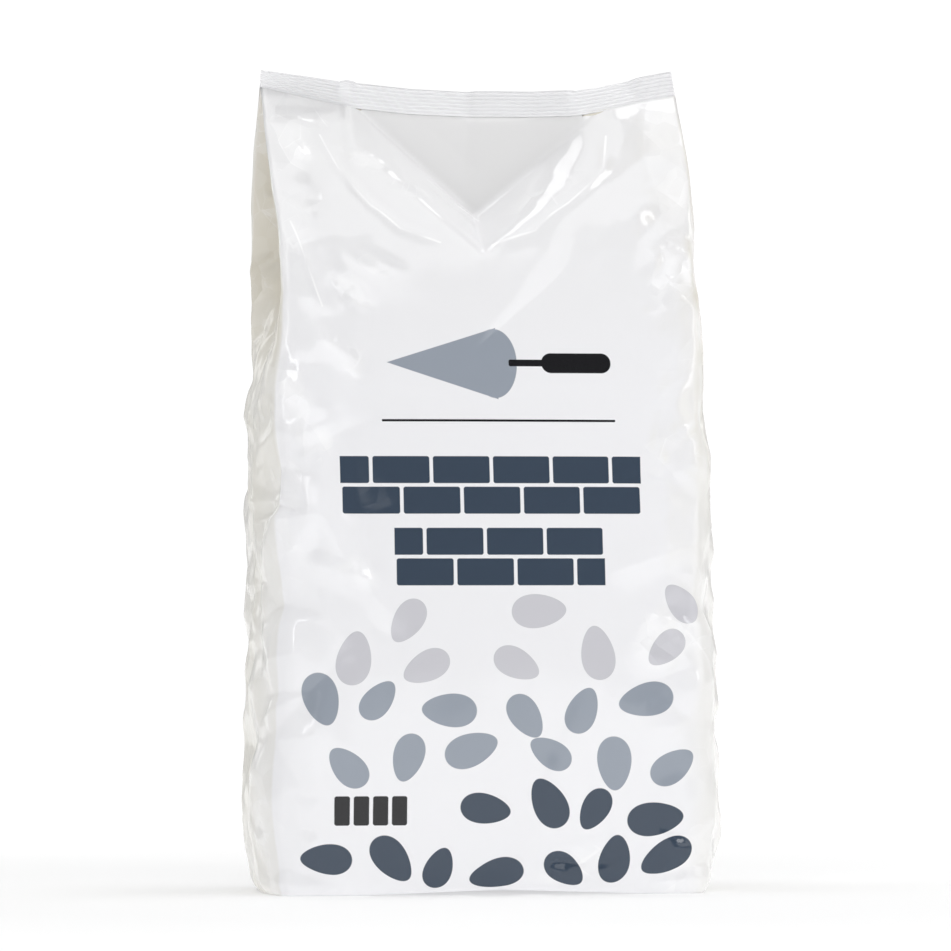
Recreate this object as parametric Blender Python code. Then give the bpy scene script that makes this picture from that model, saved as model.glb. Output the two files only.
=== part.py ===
"""A five kilogram cement bag of white plastic film, filled and standing on its folded bottom.

The film is a gusseted tube: a front panel, a back panel and two side panels that fold inwards near the top. A heat
seal closes the top and leans back at its two ends. Under it the empty film falls in, which makes a pocket: an upright
triangle with two steep slopes below it. Film, weld and fill are one closed solid, because the fill is never seen. The
frame is in metres with +Z up, the printed front faces -Y, and the origin is on the floor under the middle of the bag.
"""

import bmesh
import bpy
import numpy as np

MM = 0.001

# The film
PANEL_WIDTH = 182 * MM
SEAL_HEIGHT = 11.3 * MM
SEAL_END_TAPER = 1.2 * MM

# Sections of the filled bag: height, half width, half depth at the panels' edges, half depth at their middle, radius
# of the upright corners, and how far the side panels are folded in
SECTIONS = np.array([
    (0, 90.0, 38.0, 38.6, 5.0, 0.0),
    (1.5, 91.2, 39.0, 39.9, 8.0, 0.0),
    (5, 92.8, 40.0, 41.4, 10.0, 0.0),
    (12, 94.8, 40.9, 43.4, 12.0, 0.0),
    (28, 96.2, 41.6, 45.4, 13.0, 0.0),
    (85, 94.6, 41.7, 46.1, 12.0, 0.0),
    (150, 92.8, 40.7, 45.1, 10.0, 0.5),
    (205, 91.8, 38.3, 42.7, 7.0, 2.0),
    (225, 91.4, 35.6, 40.3, 5.5, 7.0),
    (240, 91.0, 32.5, 38.0, 4.5, 18.0),
    (258, 91.0, 28.5, 34.3, 3.0, 29.0),
    (280, 90.8, 22.5, 28.3, 2.0, 35.0),
    (300, 90.5, 15.5, 19.3, 1.6, 38.0),
    (314, 90.0, 9.4, 11.4, 1.3, 37.0),
    (323, 89.6, 3.8, 4.6, 1.0, 26.0),
    (328.6, 89.3, 0.6, 0.6, 0.3, 0.0),
]) * MM
SIDE_BULGE = 3.2 * MM

# The lower edge of the seal: place across the bag, place in depth, height, and how far the seal leans back
SEAL_LINE = np.array([
    (-89.3, 5.0, 340.6, 54),
    (-74, 1.0, 337.0, 44),
    (-56, -5.0, 332.5, 34),
    (-51, -6.0, 331.3, 2),
    (-26, -2.5, 329.2, -12),
    (4, 0.5, 328.6, -12),
    (26, -2.5, 328.6, -12),
    (42, -5.5, 329.0, -8),
    (47, -5.5, 329.5, 8),
    (58, -2.0, 331.6, 16),
    (74, 2.4, 335.4, 28),
    (89.3, 4.5, 338.2, 36),
]) * (MM, MM, MM, np.pi / 180)

# The seal's height in the middle, and the level above which the panels follow the seal's line
SEAL_LEVEL = SECTIONS[-1, 0]
LIFT_FROM = 200 * MM
BEND_FROM = 262 * MM

# The bag's top sits a little to the left of its base, and the front's left edge is drawn in below the seal
TOP_SHIFT = -4 * MM
SHIFT_FROM = 100 * MM
LEFT_INSET = np.array([(150, 0), (205, 3), (240, 7), (265, 7), (290, 4.5), (314, 1.2), (328.6, 0)]) * MM

# The pocket under the seal: the two upper corners and the foot of its upright triangle, how fast the triangle comes
# forward on its way down, and how far the slopes below it stand out for each millimetre, at their ends and in addition
# in the middle of the bag
POCKET_LEFT = np.array([-50, 331]) * MM
POCKET_RIGHT = np.array([55, 330]) * MM
POCKET_FOOT = np.array([1, 285]) * MM
TRIANGLE_SLOPE = 0.10
TRIANGLE_START = 0.3 * MM
STEEP_ENDS = 0.8
STEEP_MIDDLE = 1.3
STEEP_WIDTH = 52 * MM
SOFTENING = 4 * MM

# Steps of the mesh along a panel, a corner and a side panel, and the levels of its rings
PANEL_STEPS = 44
CORNER_STEPS = 3
SIDE_STEPS = 8
LEVELS = np.concatenate([
    [0, 1.5, 5, 12],
    np.linspace(22, 205, 11),
    np.linspace(215, 262, 6),
    np.linspace(266.5, 326, 18),
    [328.6],
]) * MM
SEAL_LEVELS = np.array([0.34, 0.67, 1.0]) * SEAL_HEIGHT


def curve_through(knots, values, at):
    """Values at the given places on a smooth curve that never overshoots its knots."""
    steps = np.diff(knots)
    slopes = np.diff(values) / steps
    ends = [slopes[:1], slopes[-1:]]
    both = slopes[:-1] * slopes[1:]
    mean = 2 * both / np.where(both > 0, slopes[:-1] + slopes[1:], 1)
    tangents = np.concatenate([ends[0], np.where(both > 0, mean, 0), ends[1]])
    i = np.clip(np.searchsorted(knots, at) - 1, 0, len(steps) - 1)
    t = (np.clip(at, knots[0], knots[-1]) - knots[i]) / steps[i]
    start = (1 + 2 * t) * (1 - t) ** 2 * values[i] + t * (1 - t) ** 2 * steps[i] * tangents[i]
    return start + t * t * (3 - 2 * t) * values[i + 1] - t * t * (1 - t) * steps[i] * tangents[i + 1]


def section(level):
    """Half width, half depth at the edge and in the middle, corner radius and fold depth at a level."""
    return [curve_through(SECTIONS[:, 0], SECTIONS[:, k], level) for k in range(1, SECTIONS.shape[1])]


def seal_line(x):
    """Depth, height and lean of the seal's lower edge at places across the bag."""
    return [curve_through(SEAL_LINE[:, 0], SEAL_LINE[:, k], x) for k in range(1, 4)]


def rise(level, start):
    """0 below start, growing smoothly to 1 at the seal."""
    return np.clip((level - start) / (SEAL_LEVEL - start), 0, 1) ** 2


def inside_line(x, z, first, second):
    """Distance of points to the left of the line that runs from first to second."""
    across, up = second[0] - first[0], second[1] - first[1]
    return (across * (z - first[1]) - up * (x - first[0])) / np.hypot(across, up)


def pocket(x, z):
    """The most that the front panel can stand out at a place near the seal."""
    outside = -np.minimum(inside_line(x, z, POCKET_LEFT, POCKET_FOOT), inside_line(x, z, POCKET_FOOT, POCKET_RIGHT))
    steepness = STEEP_ENDS + STEEP_MIDDLE * np.clip(1 - np.abs(x - POCKET_FOOT[0]) / STEEP_WIDTH, 0, 1)
    triangle = TRIANGLE_START + TRIANGLE_SLOPE * np.clip(SEAL_LEVEL - z, 0, None)
    return triangle + steepness * np.clip(outside, 0, None)


def soft_min(a, b):
    """The smaller of two values, with the step from one to the other rounded."""
    share = np.clip(0.5 + 0.5 * (b - a) / SOFTENING, 0, 1)
    return b * (1 - share) + a * share - SOFTENING * share * (1 - share)


def front_depth(panel_x, panel_y, level):
    """How far the front panel stands out at a level, with the pocket in it."""
    if level >= SEAL_LEVEL:
        return panel_y
    return np.maximum(soft_min(panel_y, pocket(panel_x, level + lift(panel_x, level))), TRIANGLE_START)


def ring_at(level):
    """Points of one ring of the body in the order front, right, back and left, seen from above."""
    width, edge, middle, radius, fold = section(level)
    turn = np.linspace(0, np.pi / 2, CORNER_STEPS + 1)[1:-1]
    along = np.linspace(-1, 1, PANEL_STEPS + 1)
    up_side = np.linspace(-1, 1, SIDE_STEPS + 1)
    panel_x = along * (width - radius)
    panel_y = edge + (middle - edge) * (1 - along**2)
    corner_x = width - radius + radius * np.sin(turn)
    corner_y = edge - radius + radius * np.cos(turn)
    side_x = width - fold * (1 - np.abs(up_side)) + SIDE_BULGE * (1 - up_side**2) * (1 - fold / fold_limit())
    side_y = up_side * (edge - radius)
    half = [
        (panel_x, -front_depth(panel_x, panel_y, level)),
        (corner_x, -corner_y),
        (side_x, side_y),
        (corner_x[::-1], corner_y[::-1]),
    ]
    other = [
        (panel_x[::-1], panel_y),
        (-corner_x, corner_y),
        (-side_x, -side_y),
        (-corner_x[::-1], -corner_y[::-1]),
    ]
    x, y = (np.concatenate([part[k] for part in half + other]) for k in range(2))
    drawn_in = np.clip(-x / (width - radius), 0, 1) * np.clip(-y / (edge - radius), 0, 1)
    x = x + drawn_in * curve_through(*LEFT_INSET.T, level)
    y = y + seal_line(x)[0] * rise(level, BEND_FROM)
    return np.stack([x, y, level + lift(x, level)], axis=1)


def fold_limit():
    """The deepest fold of the side panels."""
    return SECTIONS[:, -1].max()


def lift(x, level):
    """How far a point stands above its level because the seal's ends are higher than its middle."""
    return (seal_line(x)[1] - SEAL_LEVEL) * rise(level, LIFT_FROM)


def seal_ring(height, lower_ring):
    """The ring of the seal at a height above its lower edge, over the body's last ring."""
    depth, level, lean = seal_line(lower_ring[:, 0])
    off_middle = lower_ring[:, 1] - depth
    x = lower_ring[:, 0] * (1 - SEAL_END_TAPER * height / SEAL_HEIGHT / (PANEL_WIDTH / 2))
    y = depth + height * np.sin(lean) + off_middle * np.cos(lean)
    return np.stack([x, y, level + height * np.cos(lean) - off_middle * np.sin(lean)], axis=1)


def shifted(points):
    """The points moved sideways as the bag's top leans to the left."""
    share = np.clip((points[:, 2] - SHIFT_FROM) / (SEAL_LEVEL - SHIFT_FROM), 0, 1)
    moved = points.copy()
    moved[:, 0] += TOP_SHIFT * share * share * (3 - 2 * share)
    return moved


def bag_rings():
    """Every ring from the floor to the top of the seal, with the bag's box centred over the origin."""
    body = [ring_at(level) for level in LEVELS]
    seal = [seal_ring(height, body[-1]) for height in SEAL_LEVELS]
    rings = np.array([shifted(ring) for ring in body + seal])
    corners = rings.reshape(-1, 3)
    rings[:, :, :2] -= ((corners.min(axis=0) + corners.max(axis=0)) / 2)[:2]
    return rings


def top_faces(ring):
    """The strip of faces that closes the seal's top edge, from one end to the other."""
    count = len(ring)
    start = PANEL_STEPS
    steps = count // 2 - start
    back = start + steps
    faces = [(i, i + 1, (back + start - i - 1), (back + start - i)) for i in range(start)]
    right_end = list(range(start, back + 1))
    left_end = [i % count for i in range(back + start, count + 1)]
    return faces + [right_end, left_end]


def wall_faces(lower, upper):
    """The triangles between two rings, split along the pocket's slanting edges on either side of the middle."""
    count = len(lower)
    faces = []
    for i in range(count):
        j = (i + 1) % count
        if i < PANEL_STEPS // 2:
            faces += [(lower[i], lower[j], upper[i]), (lower[j], upper[j], upper[i])]
        else:
            faces += [(lower[i], lower[j], upper[j]), (lower[i], upper[j], upper[i])]
    return faces


def film_material():
    """White glossy polyethylene film."""
    material = bpy.data.materials.new("white_film")
    material.use_nodes = True
    shader = material.node_tree.nodes["Principled BSDF"]
    shader.inputs["Base Color"].default_value = (0.86, 0.86, 0.88, 1)
    shader.inputs["Roughness"].default_value = 0.2
    shader.inputs["Metallic"].default_value = 0
    return material


def make_bag():
    """The bag as one closed mesh object."""
    rings = bag_rings()
    mesh = bmesh.new()
    vertices = [[mesh.verts.new(point) for point in ring] for ring in rings]
    for lower, upper in zip(vertices, vertices[1:]):
        for face in wall_faces(lower, upper):
            mesh.faces.new(face)
    mesh.faces.new(reversed(vertices[0]))
    for face in top_faces(vertices[-1]):
        mesh.faces.new([vertices[-1][i] for i in face])
    data = bpy.data.meshes.new("bag")
    mesh.to_mesh(data)
    mesh.free()
    data.shade_smooth()
    data.set_sharp_from_angle(angle=np.radians(40))
    data.materials.append(film_material())
    bag = bpy.data.objects.new("bag", data)
    bpy.context.scene.collection.objects.link(bag)
    return bag


for old in list(bpy.data.objects):
    bpy.data.objects.remove(old)
make_bag()
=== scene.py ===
# %% [markdown]
# # A filled bag of cement in white plastic film
#
# The bag is one tube of glossy white film. Its sides are folded inwards, which makes them gussets, and
# its top and its bottom are welded between ribbed jaws. Inside is cement powder, which nobody sees but
# which pushes the film out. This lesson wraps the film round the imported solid, lets Blender's cloth
# solver crumple it, adds the welds and the seam, prints the front in the shader, and lights it like a
# product photograph.

import math

import bpy
import numpy as np
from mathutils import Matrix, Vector


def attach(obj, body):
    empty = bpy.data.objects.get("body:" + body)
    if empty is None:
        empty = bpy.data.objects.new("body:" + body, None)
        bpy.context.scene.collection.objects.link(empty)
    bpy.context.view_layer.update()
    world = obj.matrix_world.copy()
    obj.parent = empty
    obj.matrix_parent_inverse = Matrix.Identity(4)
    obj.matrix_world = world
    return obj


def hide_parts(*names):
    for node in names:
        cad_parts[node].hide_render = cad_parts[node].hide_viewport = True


MM = 0.001
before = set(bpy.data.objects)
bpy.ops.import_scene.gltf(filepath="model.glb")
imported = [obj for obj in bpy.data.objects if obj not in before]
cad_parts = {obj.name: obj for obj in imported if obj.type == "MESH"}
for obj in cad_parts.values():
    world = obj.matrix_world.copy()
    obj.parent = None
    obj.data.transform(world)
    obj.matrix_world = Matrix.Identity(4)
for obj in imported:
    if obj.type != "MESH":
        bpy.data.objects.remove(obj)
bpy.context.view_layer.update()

# %% [markdown]
# The camera comes first. One pixel of the photograph is 0.424 mm at the bag, its floor line is at row
# 890, and the bag's middle is at column 479.5. The left side face shows a little, so the camera stands a
# few degrees to the left. It is far away and low, because the bag's two upright edges and its two lower
# corners stay level in the picture.

# %% Camera
PICTURE = 951
PIXEL = 0.424 * MM
FLOOR_ROW, BAG_COLUMN = 890, 479.5
CAMERA_AZIMUTH = math.radians(-9)
CAMERA_DISTANCE = 2.8
EYE_HEIGHT = 0.14
SENSOR = 36.0


def add_to_scene(thing):
    """Links an object to the scene and hands it back."""
    bpy.context.scene.collection.objects.link(thing)
    return thing


def aim(thing, target):
    """Turns an object so that its -Z looks at a point."""
    thing.rotation_euler = (target - thing.location).to_track_quat("-Z", "Y").to_euler()


to_camera = Vector((math.sin(CAMERA_AZIMUTH), -math.cos(CAMERA_AZIMUTH), 0))
to_right = Vector((math.cos(CAMERA_AZIMUTH), math.sin(CAMERA_AZIMUTH), 0))
picture_middle = to_right * ((PICTURE / 2 - BAG_COLUMN) * PIXEL)
picture_middle.z = (FLOOR_ROW - PICTURE / 2) * PIXEL
camera = add_to_scene(bpy.data.objects.new("camera", bpy.data.cameras.new("camera")))
camera.location = picture_middle + to_camera * CAMERA_DISTANCE
camera.location.z = EYE_HEIGHT
aim(camera, picture_middle)
camera.data.sensor_width = SENSOR
camera.data.lens = SENSOR * CAMERA_DISTANCE / (PICTURE * PIXEL)
bpy.context.scene.camera = camera
print("lens, mm:", round(camera.data.lens))

# %% [markdown]
# ## The film's shape
#
# A bag like this starts as a straight tube: a front panel, a side panel, a back panel and another side
# panel. Filled, it has a section at each height that a few numbers describe: how wide and how deep it is,
# how round its corners are, and how far its sides are folded in. They are the solid's own numbers, a
# little smaller where creases are drawn on top later, and a smooth curve runs through them.

# %% Driving sizes of the film
PANEL, SIDE = 182 * MM, 84 * MM
TUBE = 349 * MM
SIDE_BULGE = 2.5 * MM

# Height, half width, half depth at the panels' edges and at their middle, corner radius, depth of the fold
SECTIONS = np.array([
    (0, 90.0, 38.0, 38.5, 5.0, 0.0),
    (1.5, 91.2, 39.0, 39.8, 8.0, 0.0),
    (5, 92.8, 40.0, 41.2, 10.0, 0.0),
    (12, 94.6, 40.8, 43.0, 12.0, 0.0),
    (28, 95.8, 41.3, 44.6, 13.0, 0.0),
    (85, 94.0, 41.3, 45.0, 12.0, 0.0),
    (150, 92.2, 40.3, 44.0, 10.0, 0.5),
    (205, 91.5, 38.0, 42.0, 7.0, 2.0),
    (225, 91.3, 35.5, 40.0, 5.5, 7.0),
    (240, 91.0, 32.5, 38.0, 4.5, 18.0),
    (258, 91.0, 28.5, 34.5, 3.0, 29.0),
    (280, 90.8, 22.5, 28.5, 2.0, 35.0),
    (300, 90.5, 15.5, 19.5, 1.5, 38.5),
    (314, 90.0, 9.4, 11.5, 1.2, 40.6),
    (323, 89.6, 3.8, 4.6, 0.8, 41.6),
    (328.6, 89.3, 0.3, 0.3, 0.1, 42.0),
]) * MM
SEAL_LEVEL = SECTIONS[-1, 0]
DEEPEST_FOLD = SECTIONS[-1, -1]

# The seal's lower edge: place across the bag, place in depth, height, and how far the seal leans back
SEAL_LINE = np.array([
    (-89.3, 5.0, 340.6, 54),
    (-74, 1.0, 337.0, 44),
    (-56.5, -3.8, 332.6, 30),
    (-53.5, -6.2, 331.8, -8),
    (-51, -6.4, 331.3, -12),
    (-26, -2.5, 329.2, -12),
    (-1, 1.0, 328.6, -16),
    (3, 0.2, 328.6, -8),
    (26, -2.5, 328.6, -12),
    (42, -5.5, 329.0, -8),
    (47, -5.5, 329.5, -20),
    (58, -2.0, 331.6, -24),
    (72, 2.0, 335.0, -26),
    (76, 2.8, 335.8, -12),
    (89.3, 4.5, 338.2, -6),
]) * (MM, MM, MM, math.pi / 180)
KINK = 0.9 * MM

# The top leans to the left, the panels follow the seal's line above these levels, and a pocket lies under
# the seal
TOP_SHIFT, SHIFT_FROM = -4 * MM, 100 * MM
LIFT_FROM, BEND_FROM = 200 * MM, 262 * MM
V_LEFT, V_RIGHT, V_FOOT = (-50 * MM, 331 * MM), (55 * MM, 330 * MM), (1 * MM, 285 * MM)

# How far the front's left edge is drawn in at some heights, and the notch in the front's lower edge
LEFT_INSET = np.array([(150, 0), (205, 0.5), (240, 5.5), (265, 7), (290, 4.5), (314, 1.2), (328.6, 0)]) * MM
NOTCH_AT, NOTCH_WIDTH, NOTCH_HEIGHT, NOTCH_FADES = 3 * MM, 62 * MM, 2.2 * MM, 12 * MM


def curve_through(knots, values, at):
    """Values at the given places on a smooth curve that never overshoots its knots."""
    steps = np.diff(knots)
    slopes = np.diff(values) / steps
    both = slopes[:-1] * slopes[1:]
    mean = 2 * both / np.where(both > 0, slopes[:-1] + slopes[1:], 1)
    tangents = np.concatenate([slopes[:1], np.where(both > 0, mean, 0), slopes[-1:]])
    i = np.clip(np.searchsorted(knots, at) - 1, 0, len(steps) - 1)
    t = (np.clip(at, knots[0], knots[-1]) - knots[i]) / steps[i]
    start = (1 + 2 * t) * (1 - t) ** 2 * values[i] + t * (1 - t) ** 2 * steps[i] * tangents[i]
    return start + t * t * (3 - 2 * t) * values[i + 1] - t * t * (1 - t) * steps[i] * tangents[i + 1]


def seal_line(x):
    """Depth, height and lean of the seal's lower edge across the bag, with its kinks rounded a little."""
    around = np.linspace(-KINK, KINK, 5)
    columns = (np.interp(x[..., None] + around, SEAL_LINE[:, 0], SEAL_LINE[:, k]) for k in range(1, 4))
    return [column.mean(axis=-1) for column in columns]


def share_above(level, start):
    """0 below start, growing smoothly to 1 at the seal."""
    return np.clip((level - start) / (SEAL_LEVEL - start), 0, 1) ** 2


def lift(x, level):
    """How far a point stands above its level, because the seal's ends are higher than its middle."""
    return (seal_line(x)[1] - SEAL_LEVEL) * share_above(level, LIFT_FROM)


# %% [markdown]
# Under the seal the empty top of the film falls in. It makes a flat triangle that hangs straight down
# from the weld, with two steep slopes below it that carry the film out over the fill. The triangle's two
# lower sides are the V that catches the eye in the photograph.

# %% The pocket under the seal
STEEP_ENDS, STEEP_MIDDLE, STEEP_WIDTH = 0.8, 1.3, 52 * MM
TRIANGLE_FROM, TRIANGLE_SLOPE = 0.3 * MM, 0.10
SOFTEN = 3 * MM


def inside_line(x, z, first, second):
    """Distance of points to the left of the line that runs from first to second."""
    across, up = second[0] - first[0], second[1] - first[1]
    return (across * (z - first[1]) - up * (x - first[0])) / math.hypot(across, up)


def pocket(x, z):
    """The most that the front panel can stand out at a place near the seal."""
    outside = -np.minimum(inside_line(x, z, V_LEFT, V_FOOT), inside_line(x, z, V_FOOT, V_RIGHT))
    steepness = STEEP_ENDS + STEEP_MIDDLE * np.clip(1 - np.abs(x - V_FOOT[0]) / STEEP_WIDTH, 0, 1)
    flat = TRIANGLE_FROM + TRIANGLE_SLOPE * np.clip(SEAL_LEVEL - z, 0, None)
    return flat + steepness * np.clip(outside, 0, None)


def soft_min(a, b, width):
    """The smaller of two fields, with the crease between them rounded."""
    share = np.clip(0.5 + 0.5 * (b - a) / width, 0, 1)
    return b * (1 - share) + a * share - width * share * (1 - share)


# %% [markdown]
# The film becomes a grid. Its columns run up the bag and its rows run round it, and each panel has the
# same columns at every height. So one array of points holds the film, and a second array of the same size
# holds the flat tube that it was cut as. The cloth solver reads its lengths from the second one: that is
# what makes the creases.

# %% Grid of the film
CORNER_POINTS, PANEL_POINTS, SIDE_POINTS = 13, 121, 81
RINGS_PER_ROW = 4

# The way round the tube, and the places of its upright edges, of which the last is the first one again
ROUND_TUBE = 2 * (PANEL + SIDE)
UPRIGHT_EDGES = np.cumsum([0, PANEL, SIDE, PANEL, SIDE])


def even_points(points, count):
    """count + 1 points at even lengths along a polyline."""
    length = np.concatenate([[0], np.cumsum(np.linalg.norm(np.diff(points, axis=0), axis=1))])
    at = np.linspace(0, length[-1], count + 1)
    return np.stack([np.interp(at, length, points[:, k]) for k in range(points.shape[1])], axis=1)


def left_pull(across, aside):
    """1 at the front's left edge, falling to 0 at the middle of the front and of the left side."""
    pull = np.zeros(2 * (across + aside))
    pull[: across + 1] = np.clip(1 - 2 * np.linspace(0, 1, across + 1), 0, 1)
    pull[2 * across + aside:] = np.clip(2 * np.linspace(0, 1, aside + 1)[:-1] - 1, 0, 1)
    return pull


def film_ring(level, across, aside):
    """The film's points at one level in the order front, right, back and left, from the left front edge."""
    heights, *sizes = SECTIONS.T
    width, edge, middle, radius, fold = (float(curve_through(heights, size, level)) for size in sizes)
    along = np.linspace(-1, 1, PANEL_POINTS)
    panel_x = along * (width - radius)
    panel_y = edge + (middle - edge) * (1 - along**2)
    front_y = soft_min(panel_y, pocket(panel_x, level + lift(panel_x, level)), SOFTEN)
    turn = np.linspace(0, math.pi / 2, CORNER_POINTS)
    corner_x, corner_y = width - radius + radius * np.sin(turn), edge - radius + radius * np.cos(turn)
    corner = np.stack([corner_x, corner_y], axis=1)
    near, far = corner[: CORNER_POINTS // 2 + 1], corner[CORNER_POINTS // 2:]
    up = np.linspace(-1, 1, SIDE_POINTS)[1:-1]
    side_x = width - fold * (1 - np.abs(up)) + SIDE_BULGE * (1 - up**2) * (1 - fold / DEEPEST_FOLD)
    side = np.stack([side_x, up * (edge - radius)], axis=1)
    front_panel = np.stack([panel_x, -front_y], axis=1)[1:-1]
    back_panel = np.stack([panel_x, panel_y], axis=1)[-2:0:-1]
    front = np.concatenate([near[::-1] * (-1, -1), front_panel, near * (1, -1)])
    back = np.concatenate([near[::-1], back_panel, near * (-1, 1)])
    right = np.concatenate([far * (1, -1), side, far[::-1]])
    panels = ((front, across), (right, aside), (back, across), (right * (-1, -1), aside))
    flat = np.concatenate([even_points(panel, count)[:-1] for panel, count in panels])
    x = flat[:, 0] + left_pull(across, aside) * float(curve_through(*LEFT_INSET.T, level))
    y = flat[:, 1] + seal_line(x)[0] * share_above(level, BEND_FROM)
    notch = NOTCH_HEIGHT * np.clip(1 - np.abs(x - NOTCH_AT) / NOTCH_WIDTH, 0, 1)
    notch *= np.clip(1 - level / NOTCH_FADES, 0, 1)
    z = level + lift(x, level) + notch * (y < 0)
    share = np.clip((z - SHIFT_FROM) / (SEAL_LEVEL - SHIFT_FROM), 0, 1)
    return np.stack([x + TOP_SHIFT * share * share * (3 - 2 * share), y, z], axis=1)


def counts(step):
    """Grid steps across a panel, across a side and up the tube."""
    return round(PANEL / step / 2) * 2, round(SIDE / step / 2) * 2, round(TUBE / step)


def standing_film(step):
    """The film as it stands round the fill, with rows at even lengths."""
    across, aside, rows = counts(step)
    levels = np.linspace(0, SEAL_LEVEL, RINGS_PER_ROW * rows + 1)
    rings = np.array([film_ring(level, across, aside) for level in levels])
    length = np.linalg.norm(np.diff(rings, axis=0), axis=2).mean(axis=1)
    height = np.concatenate([[0], np.cumsum(length)])
    flat = rings.reshape(len(rings), -1)
    at = np.linspace(0, height[-1], rows + 1)
    return np.stack([np.interp(at, height, column) for column in flat.T], axis=1).reshape(rows + 1, -1, 3)


def film_places(step):
    """Place of each grid point on the flat film: the way round from the front's left edge, and height."""
    across, aside, rows = counts(step)
    panels = (
        (0, PANEL, across), (PANEL, SIDE, aside),
        (PANEL + SIDE, PANEL, across), (2 * PANEL + SIDE, SIDE, aside),
    )
    ways = [start + np.arange(count) * length / count for start, length, count in panels]
    return np.meshgrid(np.concatenate(ways), np.linspace(0, TUBE, rows + 1))


def cut_film(step):
    """The film as cut: a straight tube with square corners."""
    u, v = film_places(step)
    x = np.interp(u, UPRIGHT_EDGES, [-PANEL / 2, PANEL / 2, PANEL / 2, -PANEL / 2, -PANEL / 2])
    y = np.interp(u, UPRIGHT_EDGES, [-SIDE / 2, -SIDE / 2, SIDE / 2, SIDE / 2, -SIDE / 2])
    return np.stack([x, y, v], axis=2)


# %% [markdown]
# ## Letting the film crumple
#
# Real film has no stretch to speak of. Where the tube is longer than the way round the fill, it buckles
# into small sharp creases, and these can't be drawn by hand. Blender's cloth solver finds them: its
# springs take their lengths from the cut tube, a gentle pressure stands for the fill, and the two welds
# are pinned. The lower body is held softly, because settled powder doesn't bulge like water. The scale is
# ten to one, which suits the solver.

# %% Cloth solver
CLOTH_SCALE = 10
STIFF, SHEAR, BEND, PRESSURE = 60, 30, 0.01, 0.5
MOST_SPARE = 0.035


def tube_faces(index):
    """The faces between rows of numbered points, closed on themselves round the tube."""
    after = np.roll(index, -1, axis=1)
    return np.stack([index[:-1], after[:-1], after[1:], index[1:]], axis=-1).reshape(-1, 4)


def grid_mesh(name, points):
    """A tube mesh through rows of points."""
    index = np.arange(points.shape[0] * points.shape[1]).reshape(points.shape[:2])
    mesh = bpy.data.meshes.new(name)
    mesh.from_pydata(points.reshape(-1, 3), [], tube_faces(index).tolist())
    return mesh


def add_weights(thing, name, weights):
    """A vertex group with a weight for every grid point."""
    group = thing.vertex_groups.new(name=name)
    for i, weight in enumerate(weights.ravel()):
        if weight > 0:
            group.add([i], float(weight), "REPLACE")


def settle(start, cut, held, full, spare, frames):
    """The film's points after the cloth solver has run for some frames."""
    film = add_to_scene(bpy.data.objects.new("settling", grid_mesh("settling", start * CLOTH_SCALE)))
    film.shape_key_add(name="Basis")
    lengths = film.shape_key_add(name="cut")
    lengths.data.foreach_set("co", (cut * CLOTH_SCALE).ravel())
    lengths.value = 0
    for name, weights in (("held", held), ("full", full), ("spare", spare)):
        add_weights(film, name, weights)
    cloth = film.modifiers.new("cloth", "CLOTH")
    cloth.collision_settings.use_collision = False
    cloth.point_cache.frame_start, cloth.point_cache.frame_end = 1, frames
    wanted = {
        "quality": 5, "mass": 0.1, "air_damping": 2, "rest_shape_key": lengths,
        "tension_stiffness": STIFF, "compression_stiffness": STIFF,
        "shear_stiffness": SHEAR, "bending_stiffness": BEND,
        "tension_damping": 20, "compression_damping": 20, "shear_damping": 15, "bending_damping": 0.5,
        "vertex_group_mass": "held", "pin_stiffness": 1,
        "vertex_group_shrink": "spare", "shrink_max": -MOST_SPARE,
        "use_pressure": True, "uniform_pressure_force": PRESSURE, "vertex_group_pressure": "full",
    }
    for name, value in wanted.items():
        setattr(cloth.settings, name, value)
    cloth.settings.effector_weights.gravity = 0
    for number in range(1, frames + 1):
        bpy.context.scene.frame_set(number)
    graph = bpy.context.evaluated_depsgraph_get()
    settled = bpy.data.meshes.new_from_object(film.evaluated_get(graph), depsgraph=graph)
    points = np.empty(start.size)
    settled.vertices.foreach_get("co", points)
    bpy.data.objects.remove(film)
    bpy.data.meshes.remove(settled)
    bpy.context.scene.frame_set(1)
    return points.reshape(start.shape) / CLOTH_SCALE


# %% [markdown]
# Two runs are quicker than one. The first moves a coarse grid into its large folds, pressed by the fill.
# The second starts from there on a finer grid. It has up to three and a half per cent of spare film along
# the sides, the panels' edges and the two ends, where handling has slackened the bag, and it lies on the
# first run's shape as on a soft bed. So it buckles into many smaller dents instead of a few large ones.

# %% Settle the film
COARSE, MIDDLE, FINE = 7.0 * MM, 3.5 * MM, 1.45 * MM
COARSE_FRAMES, MIDDLE_FRAMES = 22, 14
SOFT_BED, FIRM_BED = 0.02, 0.95
SHORTEST_DENT, LONGEST_DENT, DENT = 14 * MM, 40 * MM, 0.4 * MM
EVENINGS = 8

# Spans over which something grows from none to all: the crumpling, the pocket, how firmly the film is held
# and how hard it is pressed. Heights are shares of the tube's, widths of a panel's half or in metres.
BOTTOM_END, TOP_END, PANEL_RIM, ENDS_SHARE = (0.10, 0), (0.75, 0.95), (0.72, 1), 0.6
POCKET_HEIGHT, POCKET_WIDTH, POCKET_HELD = (0.80, 0.855), (78 * MM, 58 * MM), 0.97
BODY_HELD, SIDES_HELD, TOP_HELD, HOLD = (0.75, 0.55), (0.62, 0.52), (0.72, 0.87), 0.3
BED_WIDTH, NEXT_TO_WELD = (0.8, 0.45), 0.9
PRESSED, LESS_PRESSED_UP = (0.78, 0.63), 0.6

# Where the film keeps the first run's shape: spans over which that grows from none to all
CALM_PANEL, CALM_HEIGHT = (0.9, 0.5), (0.88, 0.80)
CALM_EDGE, CALM_EDGE_SHARE = (14 * MM, 3 * MM), 0.75
CALM_TOP = (TUBE - 50 * MM, TUBE - 15 * MM)


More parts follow.
